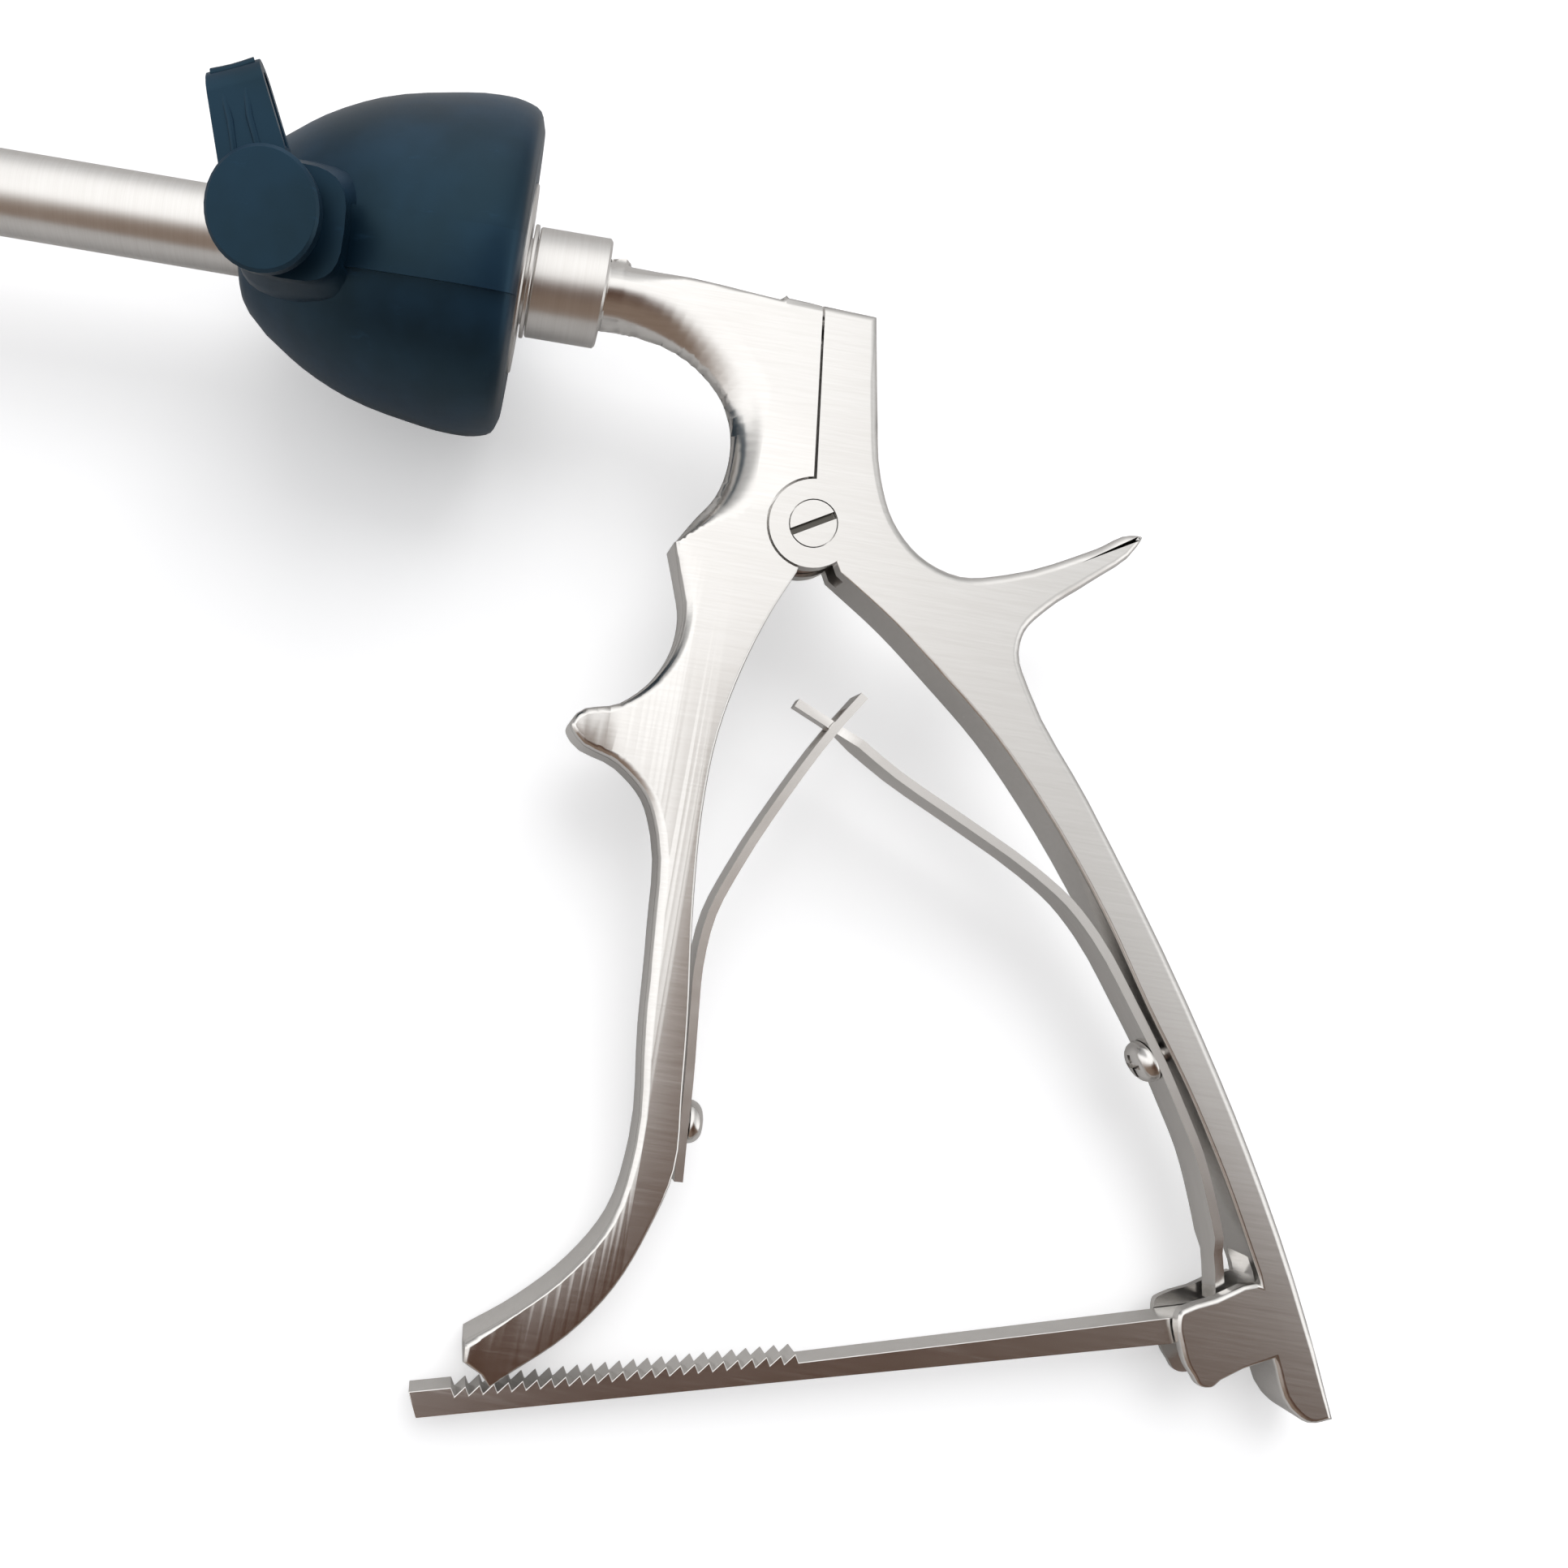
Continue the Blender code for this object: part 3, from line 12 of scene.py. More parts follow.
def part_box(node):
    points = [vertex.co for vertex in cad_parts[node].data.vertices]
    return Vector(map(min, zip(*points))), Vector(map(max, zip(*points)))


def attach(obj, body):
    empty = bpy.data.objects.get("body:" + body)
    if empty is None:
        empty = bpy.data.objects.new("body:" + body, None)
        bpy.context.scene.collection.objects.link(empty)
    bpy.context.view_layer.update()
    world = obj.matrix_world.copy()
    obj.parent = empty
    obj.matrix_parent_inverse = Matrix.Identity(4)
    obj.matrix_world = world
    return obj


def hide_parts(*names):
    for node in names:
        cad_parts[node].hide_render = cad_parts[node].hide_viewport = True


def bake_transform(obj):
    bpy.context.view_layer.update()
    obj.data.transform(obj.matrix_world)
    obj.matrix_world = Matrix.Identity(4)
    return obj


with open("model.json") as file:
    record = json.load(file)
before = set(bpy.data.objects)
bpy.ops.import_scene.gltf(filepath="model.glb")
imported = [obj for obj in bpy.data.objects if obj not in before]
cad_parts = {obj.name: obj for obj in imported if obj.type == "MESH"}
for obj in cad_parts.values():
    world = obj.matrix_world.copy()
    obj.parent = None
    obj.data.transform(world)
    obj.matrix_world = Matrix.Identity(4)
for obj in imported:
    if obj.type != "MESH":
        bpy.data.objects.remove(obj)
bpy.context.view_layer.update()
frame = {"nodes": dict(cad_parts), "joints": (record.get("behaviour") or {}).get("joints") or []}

# View: a phone held a hand's breadth over the instrument, turned a little against the shaft.
# The handles' pivot is the place that the view, the light and the pieces are set out from.

MM = 0.001
joints = {joint["name"]: joint for joint in frame["joints"]}
PIVOT = Vector(joints["squeeze"]["pos_m"])
CAMERA_PLACE = Vector((-37.0, -51.6, 165.0)) * MM
CAMERA_TURN = math.radians(9.65)
CAMERA_LENS = 30.0
CAMERA_SENSOR = 36.0
CAMERA_SHIFT = (0.2140, 0.0642)
CAMERA_NEAR, CAMERA_FAR = 0.005, 20.0


def placed(name, data):
    """A new object in the scene that holds the given data."""
    made = bpy.data.objects.new(name, data)
    bpy.context.scene.collection.objects.link(made)
    return made


view = bpy.data.cameras.new("view")
view.lens = CAMERA_LENS
view.sensor_width = CAMERA_SENSOR
view.clip_start, view.clip_end = CAMERA_NEAR, CAMERA_FAR
view.shift_x, view.shift_y = CAMERA_SHIFT
camera = placed("view", view)
camera.location = PIVOT + CAMERA_PLACE
camera.rotation_euler = (0, 0, CAMERA_TURN)
bpy.context.scene.camera = camera
bpy.context.scene.view_settings.view_transform = "Standard"

# Table: a plain white sheet of matt card, which the instrument leans on with its cone and grips.
# It glows a little to the view alone, so that it stays white and keeps the pieces' soft shadows.


class Wire:
    """A socket that takes plain arithmetic; node() adds any other node to the same tree."""

    def __init__(self, tree, socket=None):
        self.tree = tree
        self.socket = socket

    def node(self, kind, settings=None, inputs=None, output=0):
        made = self.tree.nodes.new(kind if "Node" in kind else "ShaderNode" + kind)
        for name, value in (settings or {}).items():
            setattr(made, name, value)
        for name, value in (inputs or {}).items():
            self.feed(value, made.inputs[name])
        return Wire(self.tree, made.outputs[output])

    def feed(self, value, socket):
        """Links a wire to a socket, or sets the socket to a value."""
        if isinstance(value, Wire):
            self.tree.links.new(value.socket, socket)
        elif isinstance(value, tuple) and len(value) == 3 and socket.type == "RGBA":
            socket.default_value = (*value, 1.0)
        else:
            socket.default_value = value

    def beside(self, output):
        """Another output of the same node."""
        return Wire(self.tree, self.socket.node.outputs[output])

    def maths(self, operation, first, second=0.0):
        return self.node("Math", {"operation": operation}, {0: first, 1: second})

    def __add__(self, other):
        return self.maths("ADD", self, other)

    def __sub__(self, other):
        return self.maths("SUBTRACT", self, other)

    def __rsub__(self, other):
        return self.maths("SUBTRACT", other, self)

    def __mul__(self, other):
        return self.maths("MULTIPLY", self, other)

    def __truediv__(self, other):
        return self.maths("DIVIDE", self, other)

    def between(self, low, high):
        """How far this value is from low to high, smoothly and held to 0 and 1."""
        smooth = {"interpolation_type": "SMOOTHSTEP"}
        return self.node("MapRange", smooth, {0: self, 1: low, 2: high})

    def mix(self, factor, first, second, blend="MIX"):
        settings = {"data_type": "RGBA", "blend_type": blend}
        return self.node("Mix", settings, {0: factor, 6: first, 7: second}, output=2)

    def object_place(self, turn=(0, 0, 0), scale=(1, 1, 1), centre=(0, 0, 0)):
        """Object coordinates from a centre, turned and then stretched."""
        place = self.node("TexCoord", output=3)
        place = self.node("Mapping", {}, {0: place, 1: tuple(-c for c in centre)})
        return self.node("Mapping", {}, {0: place, 2: turn, 3: scale})

    def noise(self, place, scale, detail=2.0, rough=0.5):
        inputs = {"Vector": place, "Scale": scale, "Detail": detail, "Roughness": rough}
        return self.node("TexNoise", {}, inputs)


TABLE_TILT = math.radians(-6.36)
TABLE_POINT = Vector((0.0, 25.1, -19.62)) * MM
TABLE_SIZE = 6.0
CARD_WHITE = (0.86, 0.86, 0.865)
# In reflections the card is a darker grey: painted shade, for the card's shade about the pieces.
CARD_MIRRORED_SHADE = (0.56, 0.545, 0.53)
CARD_GLOW = 0.36
WHITE = (1.0, 1.0, 1.0)

shape = bmesh.new()
bmesh.ops.create_grid(shape, x_segments=1, y_segments=1, size=TABLE_SIZE / 2)
shape.transform(Matrix.Translation(PIVOT + TABLE_POINT) @ Matrix.Rotation(TABLE_TILT, 4, "X"))
sheet = bpy.data.meshes.new("table")
shape.to_mesh(sheet)
shape.free()
table = placed("table", sheet)
card = bpy.data.materials.new("white_card")
card.use_nodes = True
paint = Wire(card.node_tree)
rays = paint.node("LightPath")
mirrored = paint.maths("MAXIMUM", rays.beside("Is Glossy Ray"), rays.beside("Is Transmission Ray"))
# Glossy and transmission rays see the darker grey card: painted shade in the steel's reflections.
matt = paint.node("BsdfDiffuse", {}, {"Color": paint.mix(mirrored, CARD_WHITE, CARD_MIRRORED_SHADE)})
glow = paint.node("Emission", {}, {"Color": WHITE, "Strength": rays * CARD_GLOW})
surface = card.node_tree.nodes["Material Output"].inputs["Surface"]
paint.feed(paint.node("AddShader", {}, {0: matt, 1: glow}), surface)
card.node_tree.nodes.remove(card.node_tree.nodes["Principled BSDF"])
sheet.materials.append(card)

# Room: a wide soft window on the shaft's side, and the dim room and the hand on the grips' side.
# The steel shows them, so its tone falls from white at the shaft to brown at the bar. A lamp at
# the window, which the steel doesn't show, gives the shadows on the card.

WINDOW_BRIGHT = (1.32, 1.31, 1.30)
WINDOW_FALL_EAST, FALL_EAST, FALL_EAST_END = 0.42, (0.1, 0.5), (0.6, 0.9)
WINDOW_FALL_WEST, FALL_WEST, FALL_WEST_NORTH = 0.55, (0.38, 0.65), (0.0, 0.3)
ROOM_DIM = (0.235, 0.170, 0.130)
ROOM_EDGE, ROOM_EDGE_WEST, ROOM_EDGE_EAST = 0.17, 0.70, 0.80
ROOM_EDGE_BEND = 0.2
WEST_FROM, EAST_FROM = 0.15, 0.2
ROOM_BLUR, ROOM_BLUR_WEST = 0.06, 0.45
HAND_DARK = (0.085, 0.040, 0.024)
HAND_WAY = (0.14, -0.42)
HAND_REACH = (0.08, 0.46)
HAND_NARROW_WEST, HAND_NARROW = 2.4, 0.5
HAZE, HAZE_UP, HAZE_NORTH = 0.50, (0.0, 0.85), (-0.2, 0.4)
PLAIN_NORTH = (-0.7, 0.7)
PLAIN_ROOM = (0.26, 0.26, 0.265)
PLAIN_WINDOW = (0.98, 0.98, 0.99)

world = bpy.data.worlds.new("room")
bpy.context.scene.world = world
world.use_nodes = True
paint = Wire(world.node_tree)
rays = paint.node("LightPath")
east = paint.node("SeparateXYZ", {}, {0: paint.node("TexCoord")})
north, up = east.beside(1), east.beside(2)
to_west = paint.maths("MAXIMUM", WEST_FROM - east, 0.0)
to_east = paint.maths("MAXIMUM", east - EAST_FROM, 0.0)
bent_west = paint.maths("POWER", to_west, ROOM_EDGE_BEND)
edge = ROOM_EDGE - bent_west * ROOM_EDGE_WEST - to_east * ROOM_EDGE_EAST
light = ((north - edge) / (to_west * ROOM_BLUR_WEST + ROOM_BLUR)).between(-1.0, 1.0)
past_hand, before_hand = east - HAND_WAY[0], (HAND_WAY[0] - east) * HAND_NARROW_WEST
away_east = paint.maths("MAXIMUM", past_hand, before_hand) * HAND_NARROW
away_north = north - HAND_WAY[1]
away = paint.maths("SQRT", away_east * away_east + away_north * away_north)
haze = (1.0 - up.between(*HAZE_UP)) * north.between(*HAZE_NORTH) * (1.0 - HAZE)
fall_east = east.between(*FALL_EAST) * (1.0 - east.between(*FALL_EAST_END))
fall_west = (east * -1.0).between(*FALL_WEST) * north.between(*FALL_WEST_NORTH)
dim = (1.0 - haze) * (1.0 - fall_east * WINDOW_FALL_EAST) * (1.0 - fall_west * WINDOW_FALL_WEST)
dim = paint.node("CombineXYZ", {}, {0: dim, 1: dim, 2: dim})
mirrored = paint.mix(1.0, paint.mix(light, ROOM_DIM, WINDOW_BRIGHT), dim, "MULTIPLY")
mirrored = paint.mix(away.between(*HAND_REACH), HAND_DARK, mirrored)
plain = paint.mix(north.between(*PLAIN_NORTH), PLAIN_ROOM, PLAIN_WINDOW)
lit = paint.mix(rays.beside("Is Diffuse Ray"), mirrored, plain)
background = world.node_tree.nodes["Background"]
paint.feed(paint.mix(rays, lit, WHITE), background.inputs["Color"])
background.inputs["Strength"].default_value = 1.0

LAMP_PLACE = Vector((0.1, 1.1, 1.2))
LAMP_SIZE = 1.1
LAMP_POWER = 9.0

lamp_data = bpy.data.lights.new("window_lamp", "AREA")
lamp_data.shape = "SQUARE"
lamp_data.size = LAMP_SIZE
lamp_data.energy = LAMP_POWER
lamp = placed("window_lamp", lamp_data)
lamp.location = PIVOT + LAMP_PLACE
lamp.rotation_euler = (-LAMP_PLACE).to_track_quat("-Z", "Y").to_euler()
lamp.visible_glossy = False

# Shaft: a drawn stainless tube, pushed into a turned collar that is bored for it and pinned.
# A fine ring closes the collar's front edge, and the grain runs round all three.

STEEL_LIGHT = (0.83, 0.82, 0.805)
STEEL_DARK = (0.755, 0.74, 0.72)
FLAT_WITHIN = math.radians(0.1)
JOIN_WITHIN = 0.003 * MM
SOFT_STEPS = 3
GRAIN_SHARE, FINE_SHARE, CLOUD_SHARE = 0.45, 0.25, 0.30
FINE_SCALE, CLOUD_SCALE, MARK_SCALE = 2.7, 55.0, 0.35
STEEL_RELIEF = 0.03 * MM


def merged(node):
    """A solid's loose triangles joined into one clean skin, its flat places made single faces."""
    shape = bmesh.new()
    shape.from_mesh(frame["nodes"][node].data)
    bmesh.ops.remove_doubles(shape, verts=shape.verts, dist=JOIN_WITHIN)
    bmesh.ops.dissolve_limit(shape, angle_limit=FLAT_WITHIN, verts=shape.verts, edges=shape.edges)
    data = bpy.data.meshes.new(f"{node}_skin")
    shape.to_mesh(data)
    shape.free()
    if "custom_normal" in data.attributes:
        data.attributes.remove(data.attributes["custom_normal"])
    return data


def coated(name, data, material):
    """A new object of one material."""
    data.materials.clear()
    data.materials.append(material)
    return placed(name, data)


def dressed(node, body, material, crease=32.0, data=None, soften=0.0):
    """A finished skin that stands for a solid: smooth between its crisp or softened edges."""
    data = data or merged(node)
    made = coated(f"{node}_skin", data, material)
    data.shade_smooth()
    data.set_sharp_from_angle(angle=math.radians(crease))
    if soften:
        edge = made.modifiers.new("edge", "BEVEL")
        edge.width = soften
        edge.segments = SOFT_STEPS
        edge.limit_method = "ANGLE"
        edge.angle_limit = math.radians(crease)
    even = made.modifiers.new("even", "WEIGHTED_NORMAL")
    even.keep_sharp = True
    if body:
        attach(made, body)
    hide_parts(node)
    return made


def steel(name, lines, turn=(0, 0, 0), rough=0.30, relief=0.03):
    """Stainless steel whose grain is noise stretched one way: lines gives its three scales."""
    made = bpy.data.materials.new(name)
    made.use_nodes = True
    shader = made.node_tree.nodes["Principled BSDF"]
    paint = Wire(made.node_tree)

    def along_lines(stretch):
        return paint.object_place(turn, tuple(stretch * scale for scale in lines))

    grain = paint.noise(along_lines(1.0), 1.0, 3.0, 0.6)
    fine = paint.noise(along_lines(FINE_SCALE), 1.0, 2.0, 0.6)
    cloud = paint.noise(paint.object_place(), CLOUD_SCALE, 3.0)
    marks = paint.noise(along_lines(MARK_SCALE), 1.0, 4.0, 0.75).between(0.60, 0.74)
    tone = grain * GRAIN_SHARE + fine * FINE_SHARE + cloud * CLOUD_SHARE
    colour = paint.mix(tone.between(0.30, 0.72), STEEL_DARK, STEEL_LIGHT)
    paint.feed(colour, shader.inputs["Base Color"])
    paint.feed(tone * 0.12 + marks * 0.05 + (rough - 0.06), shader.inputs["Roughness"])
    shader.inputs["Metallic"].default_value = 1.0
    height = grain * 0.6 + fine * 0.4
    bump = paint.node("Bump", {}, {"Strength": relief, "Distance": STEEL_RELIEF, "Height": height})
    paint.feed(bump, shader.inputs["Normal"])
    return made


turned_steel = steel("turned_steel", (2600.0, 60.0, 60.0), rough=0.30, relief=0.012)
dressed("outer_tube", "frame", turned_steel)
dressed("tube_collar", "frame", turned_steel)
ring_steel = steel("ring_steel", (2600.0, 60.0, 60.0), rough=0.30, relief=0.02)
dressed("collar_ring", "frame", ring_steel)

# Jaws: two milled steel jaws with fine teeth, in a forked housing screwed on the tube's end. A
# cross pin hangs them, and a drive pin on the long rod swings them as it slides in its guides.

jaw_steel = steel("jaw_steel", (60.0, 60.0, 1800.0), rough=0.28)
dressed("jaw_housing", "frame", turned_steel)
dressed("upper_jaw", "upper_jaw", jaw_steel)
dressed("lower_jaw", "lower_jaw", jaw_steel)
pin_steel = steel("pin_steel", (200.0, 200.0, 2400.0), rough=0.20)
dressed("jaw_pivot_pin", "frame", pin_steel)
dressed("drive_pin", "rod", pin_steel)
dressed("actuating_rod", "rod", pin_steel)

# Handles: two stainless plates, cut to outline and belt-ground to a satin face with rounded edges.
# The front one's neck and arch are ground to a full round. A slotted screw joins the two in a box
# joint, and its slot is painted dark below its top as shade in the recess.

SCREW_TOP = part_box("pivot_screw")[1][2] - PIVOT.z
SLOT_SHADE_TONE = (0.10, 0.095, 0.085)

SLOT_DEPTH = (0.1 * MM, 0.5 * MM)
BELT_LINES = (90.0, 2300.0, 900.0)
GRIP_TURN, PALM_TURN = math.radians(4), math.radians(35)
HANDLE_CREASE = 50.0
NECK_END = -29.91 * MM
NECK_FACE = -29.5 * MM
NECK_BLEND = -19.0 * MM
NECK_HALF = 4.4 * MM
PLATE_HALF = 3.5 * MM
SHAFT_HEIGHT = 25.1 * MM
ROD_BORE = 2.4 * MM
ARCH_ROUND = 5.0 * MM
ARCH_FOOT, ARCH_TOP = -5.0 * MM, 31.0 * MM
ARCH_END = -7.5 * MM
ARCH_FADE, ARCH_LEAST = 7.0 * MM, 0.12
TOP_ROUND = 1.4 * MM
GRIND_STEP = 0.7 * MM
GRIND_POWER = 1.7
TOUCHING = 0.01 * MM
MID_SEAM = 0.3 * MM


def plain_mesh(made):
    """The mesh that an object's curve or modifiers make, in place of the object."""
    graph = bpy.context.evaluated_depsgraph_get()
    done = bpy.data.meshes.new_from_object(made.evaluated_get(graph))
    bpy.data.objects.remove(made)
    return done


def in_arch(place):
    """True on the plate's skin between the collar and the cusp over the finger rest."""
    bore = math.hypot(place.y - SHAFT_HEIGHT, place.z) < ROD_BORE
    return NECK_END < place.x < ARCH_END and ARCH_FOOT < place.y < ARCH_TOP and not bore


def ground(place, edges):
    """Where a point of the skin lies once the arch and neck are ground round, and its normal.

    The round starts from the plate's nearer edge, the arch's or the top's. It is a half circle at
    the collar and falls to a fuller round along the arch and a small one along the top.
    """
    share = min(1.0, max(0.0, (place.x - NECK_END) / (NECK_BLEND - NECK_END)))
    ease = share * share * (3 - 2 * share)
    half = NECK_HALF + (PLATE_HALF - NECK_HALF) * ease
    reach = min(1.0, max(ARCH_LEAST, (place.y - ARCH_FOOT) / ARCH_FADE))
    widths = [NECK_HALF + (last - NECK_HALF) * ease for last in (ARCH_ROUND * reach, TOP_ROUND)]
    flat = Vector((place.x, place.y, 0))
    height, normal = half, Vector((0, 0, 1))
    for edge, width in zip(edges, widths):
        near, _, _, away = edge.find_nearest(flat)
        if away < width:
            lean = 1 - away / width
            left = max(0.0, 1 - lean ** GRIND_POWER)
            rise = left ** (1 / GRIND_POWER)
            slope = half / width * lean ** (GRIND_POWER - 1)
            if half * rise < height:
                out = (near - flat).normalized() if away > TOUCHING else Vector((0, -1, 0))
                height = half * rise
                lift = left ** (1 - 1 / GRIND_POWER)
                normal = Vector((out.x * slope, out.y * slope, lift)).normalized()
    side = 1 if place.z > 0 else -1
    return Vector((place.x, place.y, side * height)), Vector((normal.x, normal.y, side * normal.z))


def plate_edges(shape):
    """The arch's wall and the top's wall, each as a tree that finds the nearest place on it."""
    edges = []
    for upper in (False, True):
        points, sides = [], []
        for face in shape.faces:
            centre = face.calc_center_median()
            neck_face = face.normal.x < -0.9 and centre.x < NECK_FACE
            wall = abs(face.normal.z) < 0.15 and in_arch(centre) and not neck_face
            if wall and (centre.y > SHAFT_HEIGHT) == upper:
                sides.append(tuple(range(len(points), len(points) + len(face.verts))))
                points += [vert.co.copy() for vert in face.verts]
        edges.append(BVHTree.FromPolygons(points, sides))
    return edges


def cut_fine(shape):
    """Cuts the faces about the arch along a fine square grid, so that they can be ground round."""
    for axis, low, high in ((0, NECK_END, ARCH_END), (1, ARCH_FOOT, ARCH_TOP)):
        place = low + GRIND_STEP / 2
        while place < high:
            faces = [f for f in shape.faces if any(in_arch(vert.co) for vert in f.verts)]
            lines = {line for face in faces for line in face.edges}
            spots = {vert for face in faces for vert in face.verts}
            point, way = Vector(), Vector()
            point[axis], way[axis] = place, 1.0
            bmesh.ops.bisect_plane(
                shape, geom=[*spots, *lines, *faces], dist=TOUCHING, plane_co=point, plane_no=way
            )
            place += GRIND_STEP


def ground_handle():
    """The front handle's skin, its neck and arch ground to one full round."""
    shape = bmesh.new()
    shape.from_mesh(merged("fixed_handle"))
    shape.transform(Matrix.Translation(-PIVOT))
    edges = plate_edges(shape)
    cut_fine(shape)
    for vert in shape.verts:
        if in_arch(vert.co):
            vert.co = ground(vert.co, edges)[0]
    bmesh.ops.remove_doubles(shape, verts=shape.verts, dist=TOUCHING / 2)
    data = bpy.data.meshes.new("ground_handle")
    shape.to_mesh(data)
    shape.free()
    data.shade_smooth()
    data.set_sharp_from_angle(angle=math.radians(HANDLE_CREASE))
    raw = placed("ground_handle", data)
    even = raw.modifiers.new("even", "WEIGHTED_NORMAL")
    even.keep_sharp = True
    done = plain_mesh(raw)
    normals = [Vector(corner.vector) for corner in done.corner_normals]
    for face in done.polygons:
        if in_arch(face.center) and face.normal.x > -0.95:
            for corner in face.loop_indices:
                place = done.vertices[done.loops[corner].vertex_index].co
                if in_arch(place) and abs(place.z) > MID_SEAM:
                    normals[corner] = ground(place, edges)[1]
    done.normals_split_custom_set(normals)
    done.transform(Matrix.Translation(PIVOT))
    return done


across_grip = steel("across_grip", BELT_LINES, turn=(0, 0, GRIP_TURN), rough=0.20)
across_palm = steel("across_palm", BELT_LINES, turn=(0, 0, PALM_TURN), rough=0.22)
front_handle = coated("fixed_handle_skin", ground_handle(), across_grip)
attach(front_handle, "frame")
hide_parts("fixed_handle")
dressed("moving_handle", "rear_handle", across_palm, crease=HANDLE_CREASE)
# The screw's slot is painted a dark grey below its top: painted shade in the recess.
slot_steel = steel("slot_steel", (200.0, 2400.0, 200.0), rough=0.22)
slot_paint = Wire(slot_steel.node_tree)
slot_shader = slot_steel.node_tree.nodes["Principled BSDF"]
depth = slot_paint.node("SeparateXYZ", {}, {0: slot_paint.object_place(centre=PIVOT)}, output=2)
painted_slot_shade = depth.between(SCREW_TOP - SLOT_DEPTH[0], SCREW_TOP - SLOT_DEPTH[1])
tone = Wire(slot_steel.node_tree, slot_shader.inputs["Base Color"].links[0].from_socket)
slot_paint.feed(slot_paint.mix(painted_slot_shade, tone, SLOT_SHADE_TONE), slot_shader.inputs["Base Color"])
dressed("pivot_screw", "rear_handle", slot_steel)

# Springs: two strips of spring steel, set to a curve and hooked into each other at the crossing.
# Each is held on its handle by a round-headed screw. The real strips bend as the handles close; here
# they stay as set.

SCREW_CREASE = 40.0

leaf_steel = steel("leaf_steel", (90.0, 90.0, 2000.0), rough=0.22)
front_leaf = dressed("front_leaf_spring", None, leaf_steel)
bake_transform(front_leaf)
rear_leaf = dressed("rear_leaf_spring", None, leaf_steel)
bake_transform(rear_leaf)
dressed("front_leaf_screw", "frame", pin_steel, crease=SCREW_CREASE)
dressed("rear_leaf_screw", "rear_handle", pin_steel, crease=SCREW_CREASE)

# Ratchet: a flat bar, sawn with even teeth that lean one way, and hung on a pin in the bracket.
# Its long edges are broken with a fine chamfer that catches the light.

BAR_HINGE = PIVOT + Vector((64.6, -90.4, 0.0)) * MM
BAR_TURN = math.radians(15.28)
BAR_LENGTH = 99.0 * MM
BAR_HEEL = 4.2 * MM
BAR_HALF_HEIGHT = 1.7 * MM
BAR_HALF_WIDTH = 1.9 * MM
BAR_BORE = 1.2 * MM
BAR_CHAMFER = 0.2 * MM
BAR_TIP_SLANT = 0.6 * MM
BAR_END_LAND = 5.4 * MM
HEEL_STEPS, BORE_STEPS = 12, 24
WELD = 0.002 * MM
TOOTH_COUNT = 24
TOOTH_PITCH = 1.8 * MM
TOOTH_DEPTH = 1.15 * MM
TOOTH_STEEP = 0.3 * MM
TOOTH_START = BAR_LENGTH - BAR_END_LAND - TOOTH_COUNT * TOOTH_PITCH


def saw_bar_tree():
    """Takes the bar's plain outline as edges, adds the row of teeth, fills it and gives it width."""
    tree = bpy.data.node_groups.new("saw_bar", "GeometryNodeTree")
    sizes = (
        "Teeth", "Pitch", "Depth", "Steep", "Start", "Half height", "Half width", "Bore", "Turn"
    )
    tree.interface.new_socket("Outline", in_out="INPUT", socket_type="NodeSocketGeometry")
    for name in sizes:
        kind = "NodeSocketInt" if name == "Teeth" else "NodeSocketFloat"
        tree.interface.new_socket(name, in_out="INPUT", socket_type=kind)
    tree.interface.new_socket("Hinge", in_out="INPUT", socket_type="NodeSocketVector")
    tree.interface.new_socket("Steel", in_out="INPUT", socket_type="NodeSocketMaterial")
    tree.interface.new_socket("Bar", in_out="OUTPUT", socket_type="NodeSocketGeometry")
    build = Wire(tree)
    given = build.node("NodeGroupInput")
    size = {name: given.beside(name) for name in sizes}
    line = build.node("GeometryNodeMeshLine", {"mode": "OFFSET"}, {"Count": size["Teeth"] * 2 + 2})
    place = build.node("GeometryNodeInputIndex")
    tooth = build.maths("FLOOR", place / 2)
    root = 1 - build.maths("MODULO", place, 2.0)
    along = size["Steep"] * root - (size["Start"] + size["Pitch"] * tooth)
    above = size["Half height"] - size["Depth"] * root
    point = build.node("CombineXYZ", {}, {0: along, 1: above})
    teeth = build.node("GeometryNodeSetPosition", {}, {0: line, "Position": point})
    edge = build.node("GeometryNodeJoinGeometry")
    for part in (teeth, given):
        build.feed(part, edge.socket.node.inputs[0])
    edge = build.node("GeometryNodeMergeByDistance", {}, {0: edge, "Distance": WELD})
    loop = build.node("GeometryNodeMeshToCurve", {}, {0: edge})
    round_bore = {"Resolution": BORE_STEPS, "Radius": size["Bore"]}
    bore = build.node("GeometryNodeCurvePrimitiveCircle", {}, round_bore)
    both = build.node("GeometryNodeJoinGeometry")
    for part in (loop, bore):
        build.feed(part, both.socket.node.inputs[0])
    face = build.node("GeometryNodeFillCurve", {"mode": "NGONS"}, {0: both})
    down = build.node("CombineXYZ", {}, {2: size["Half width"] * -1.0})
    face = build.node("GeometryNodeSetPosition", {}, {0: face, "Offset": down})
    across = build.node("CombineXYZ", {}, {2: size["Half width"] * 2.0})
    whole_face = {0: face, "Offset": across, "Individual": False}
    raised = build.node("GeometryNodeExtrudeMesh", {}, whole_face)
    back = build.node("GeometryNodeFlipFaces", {}, {0: face})
    solid = build.node("GeometryNodeJoinGeometry")
    for part in (raised, back):
        build.feed(part, solid.socket.node.inputs[0])
    solid = build.node("GeometryNodeMergeByDistance", {}, {0: solid, "Distance": WELD})
    turn = build.node("CombineXYZ", {}, {2: size["Turn"]})
    hinge = {0: solid, "Translation": given.beside("Hinge"), "Rotation": turn}
    hung = build.node("GeometryNodeTransform", {}, hinge)
    bar = build.node("GeometryNodeRealizeInstances", {}, {0: hung})
    bar = build.node("GeometryNodeSetMaterial", {}, {0: bar, "Material": given.beside("Steel")})
    build.feed(bar, tree.nodes.new("NodeGroupOutput").inputs[0])
    return tree


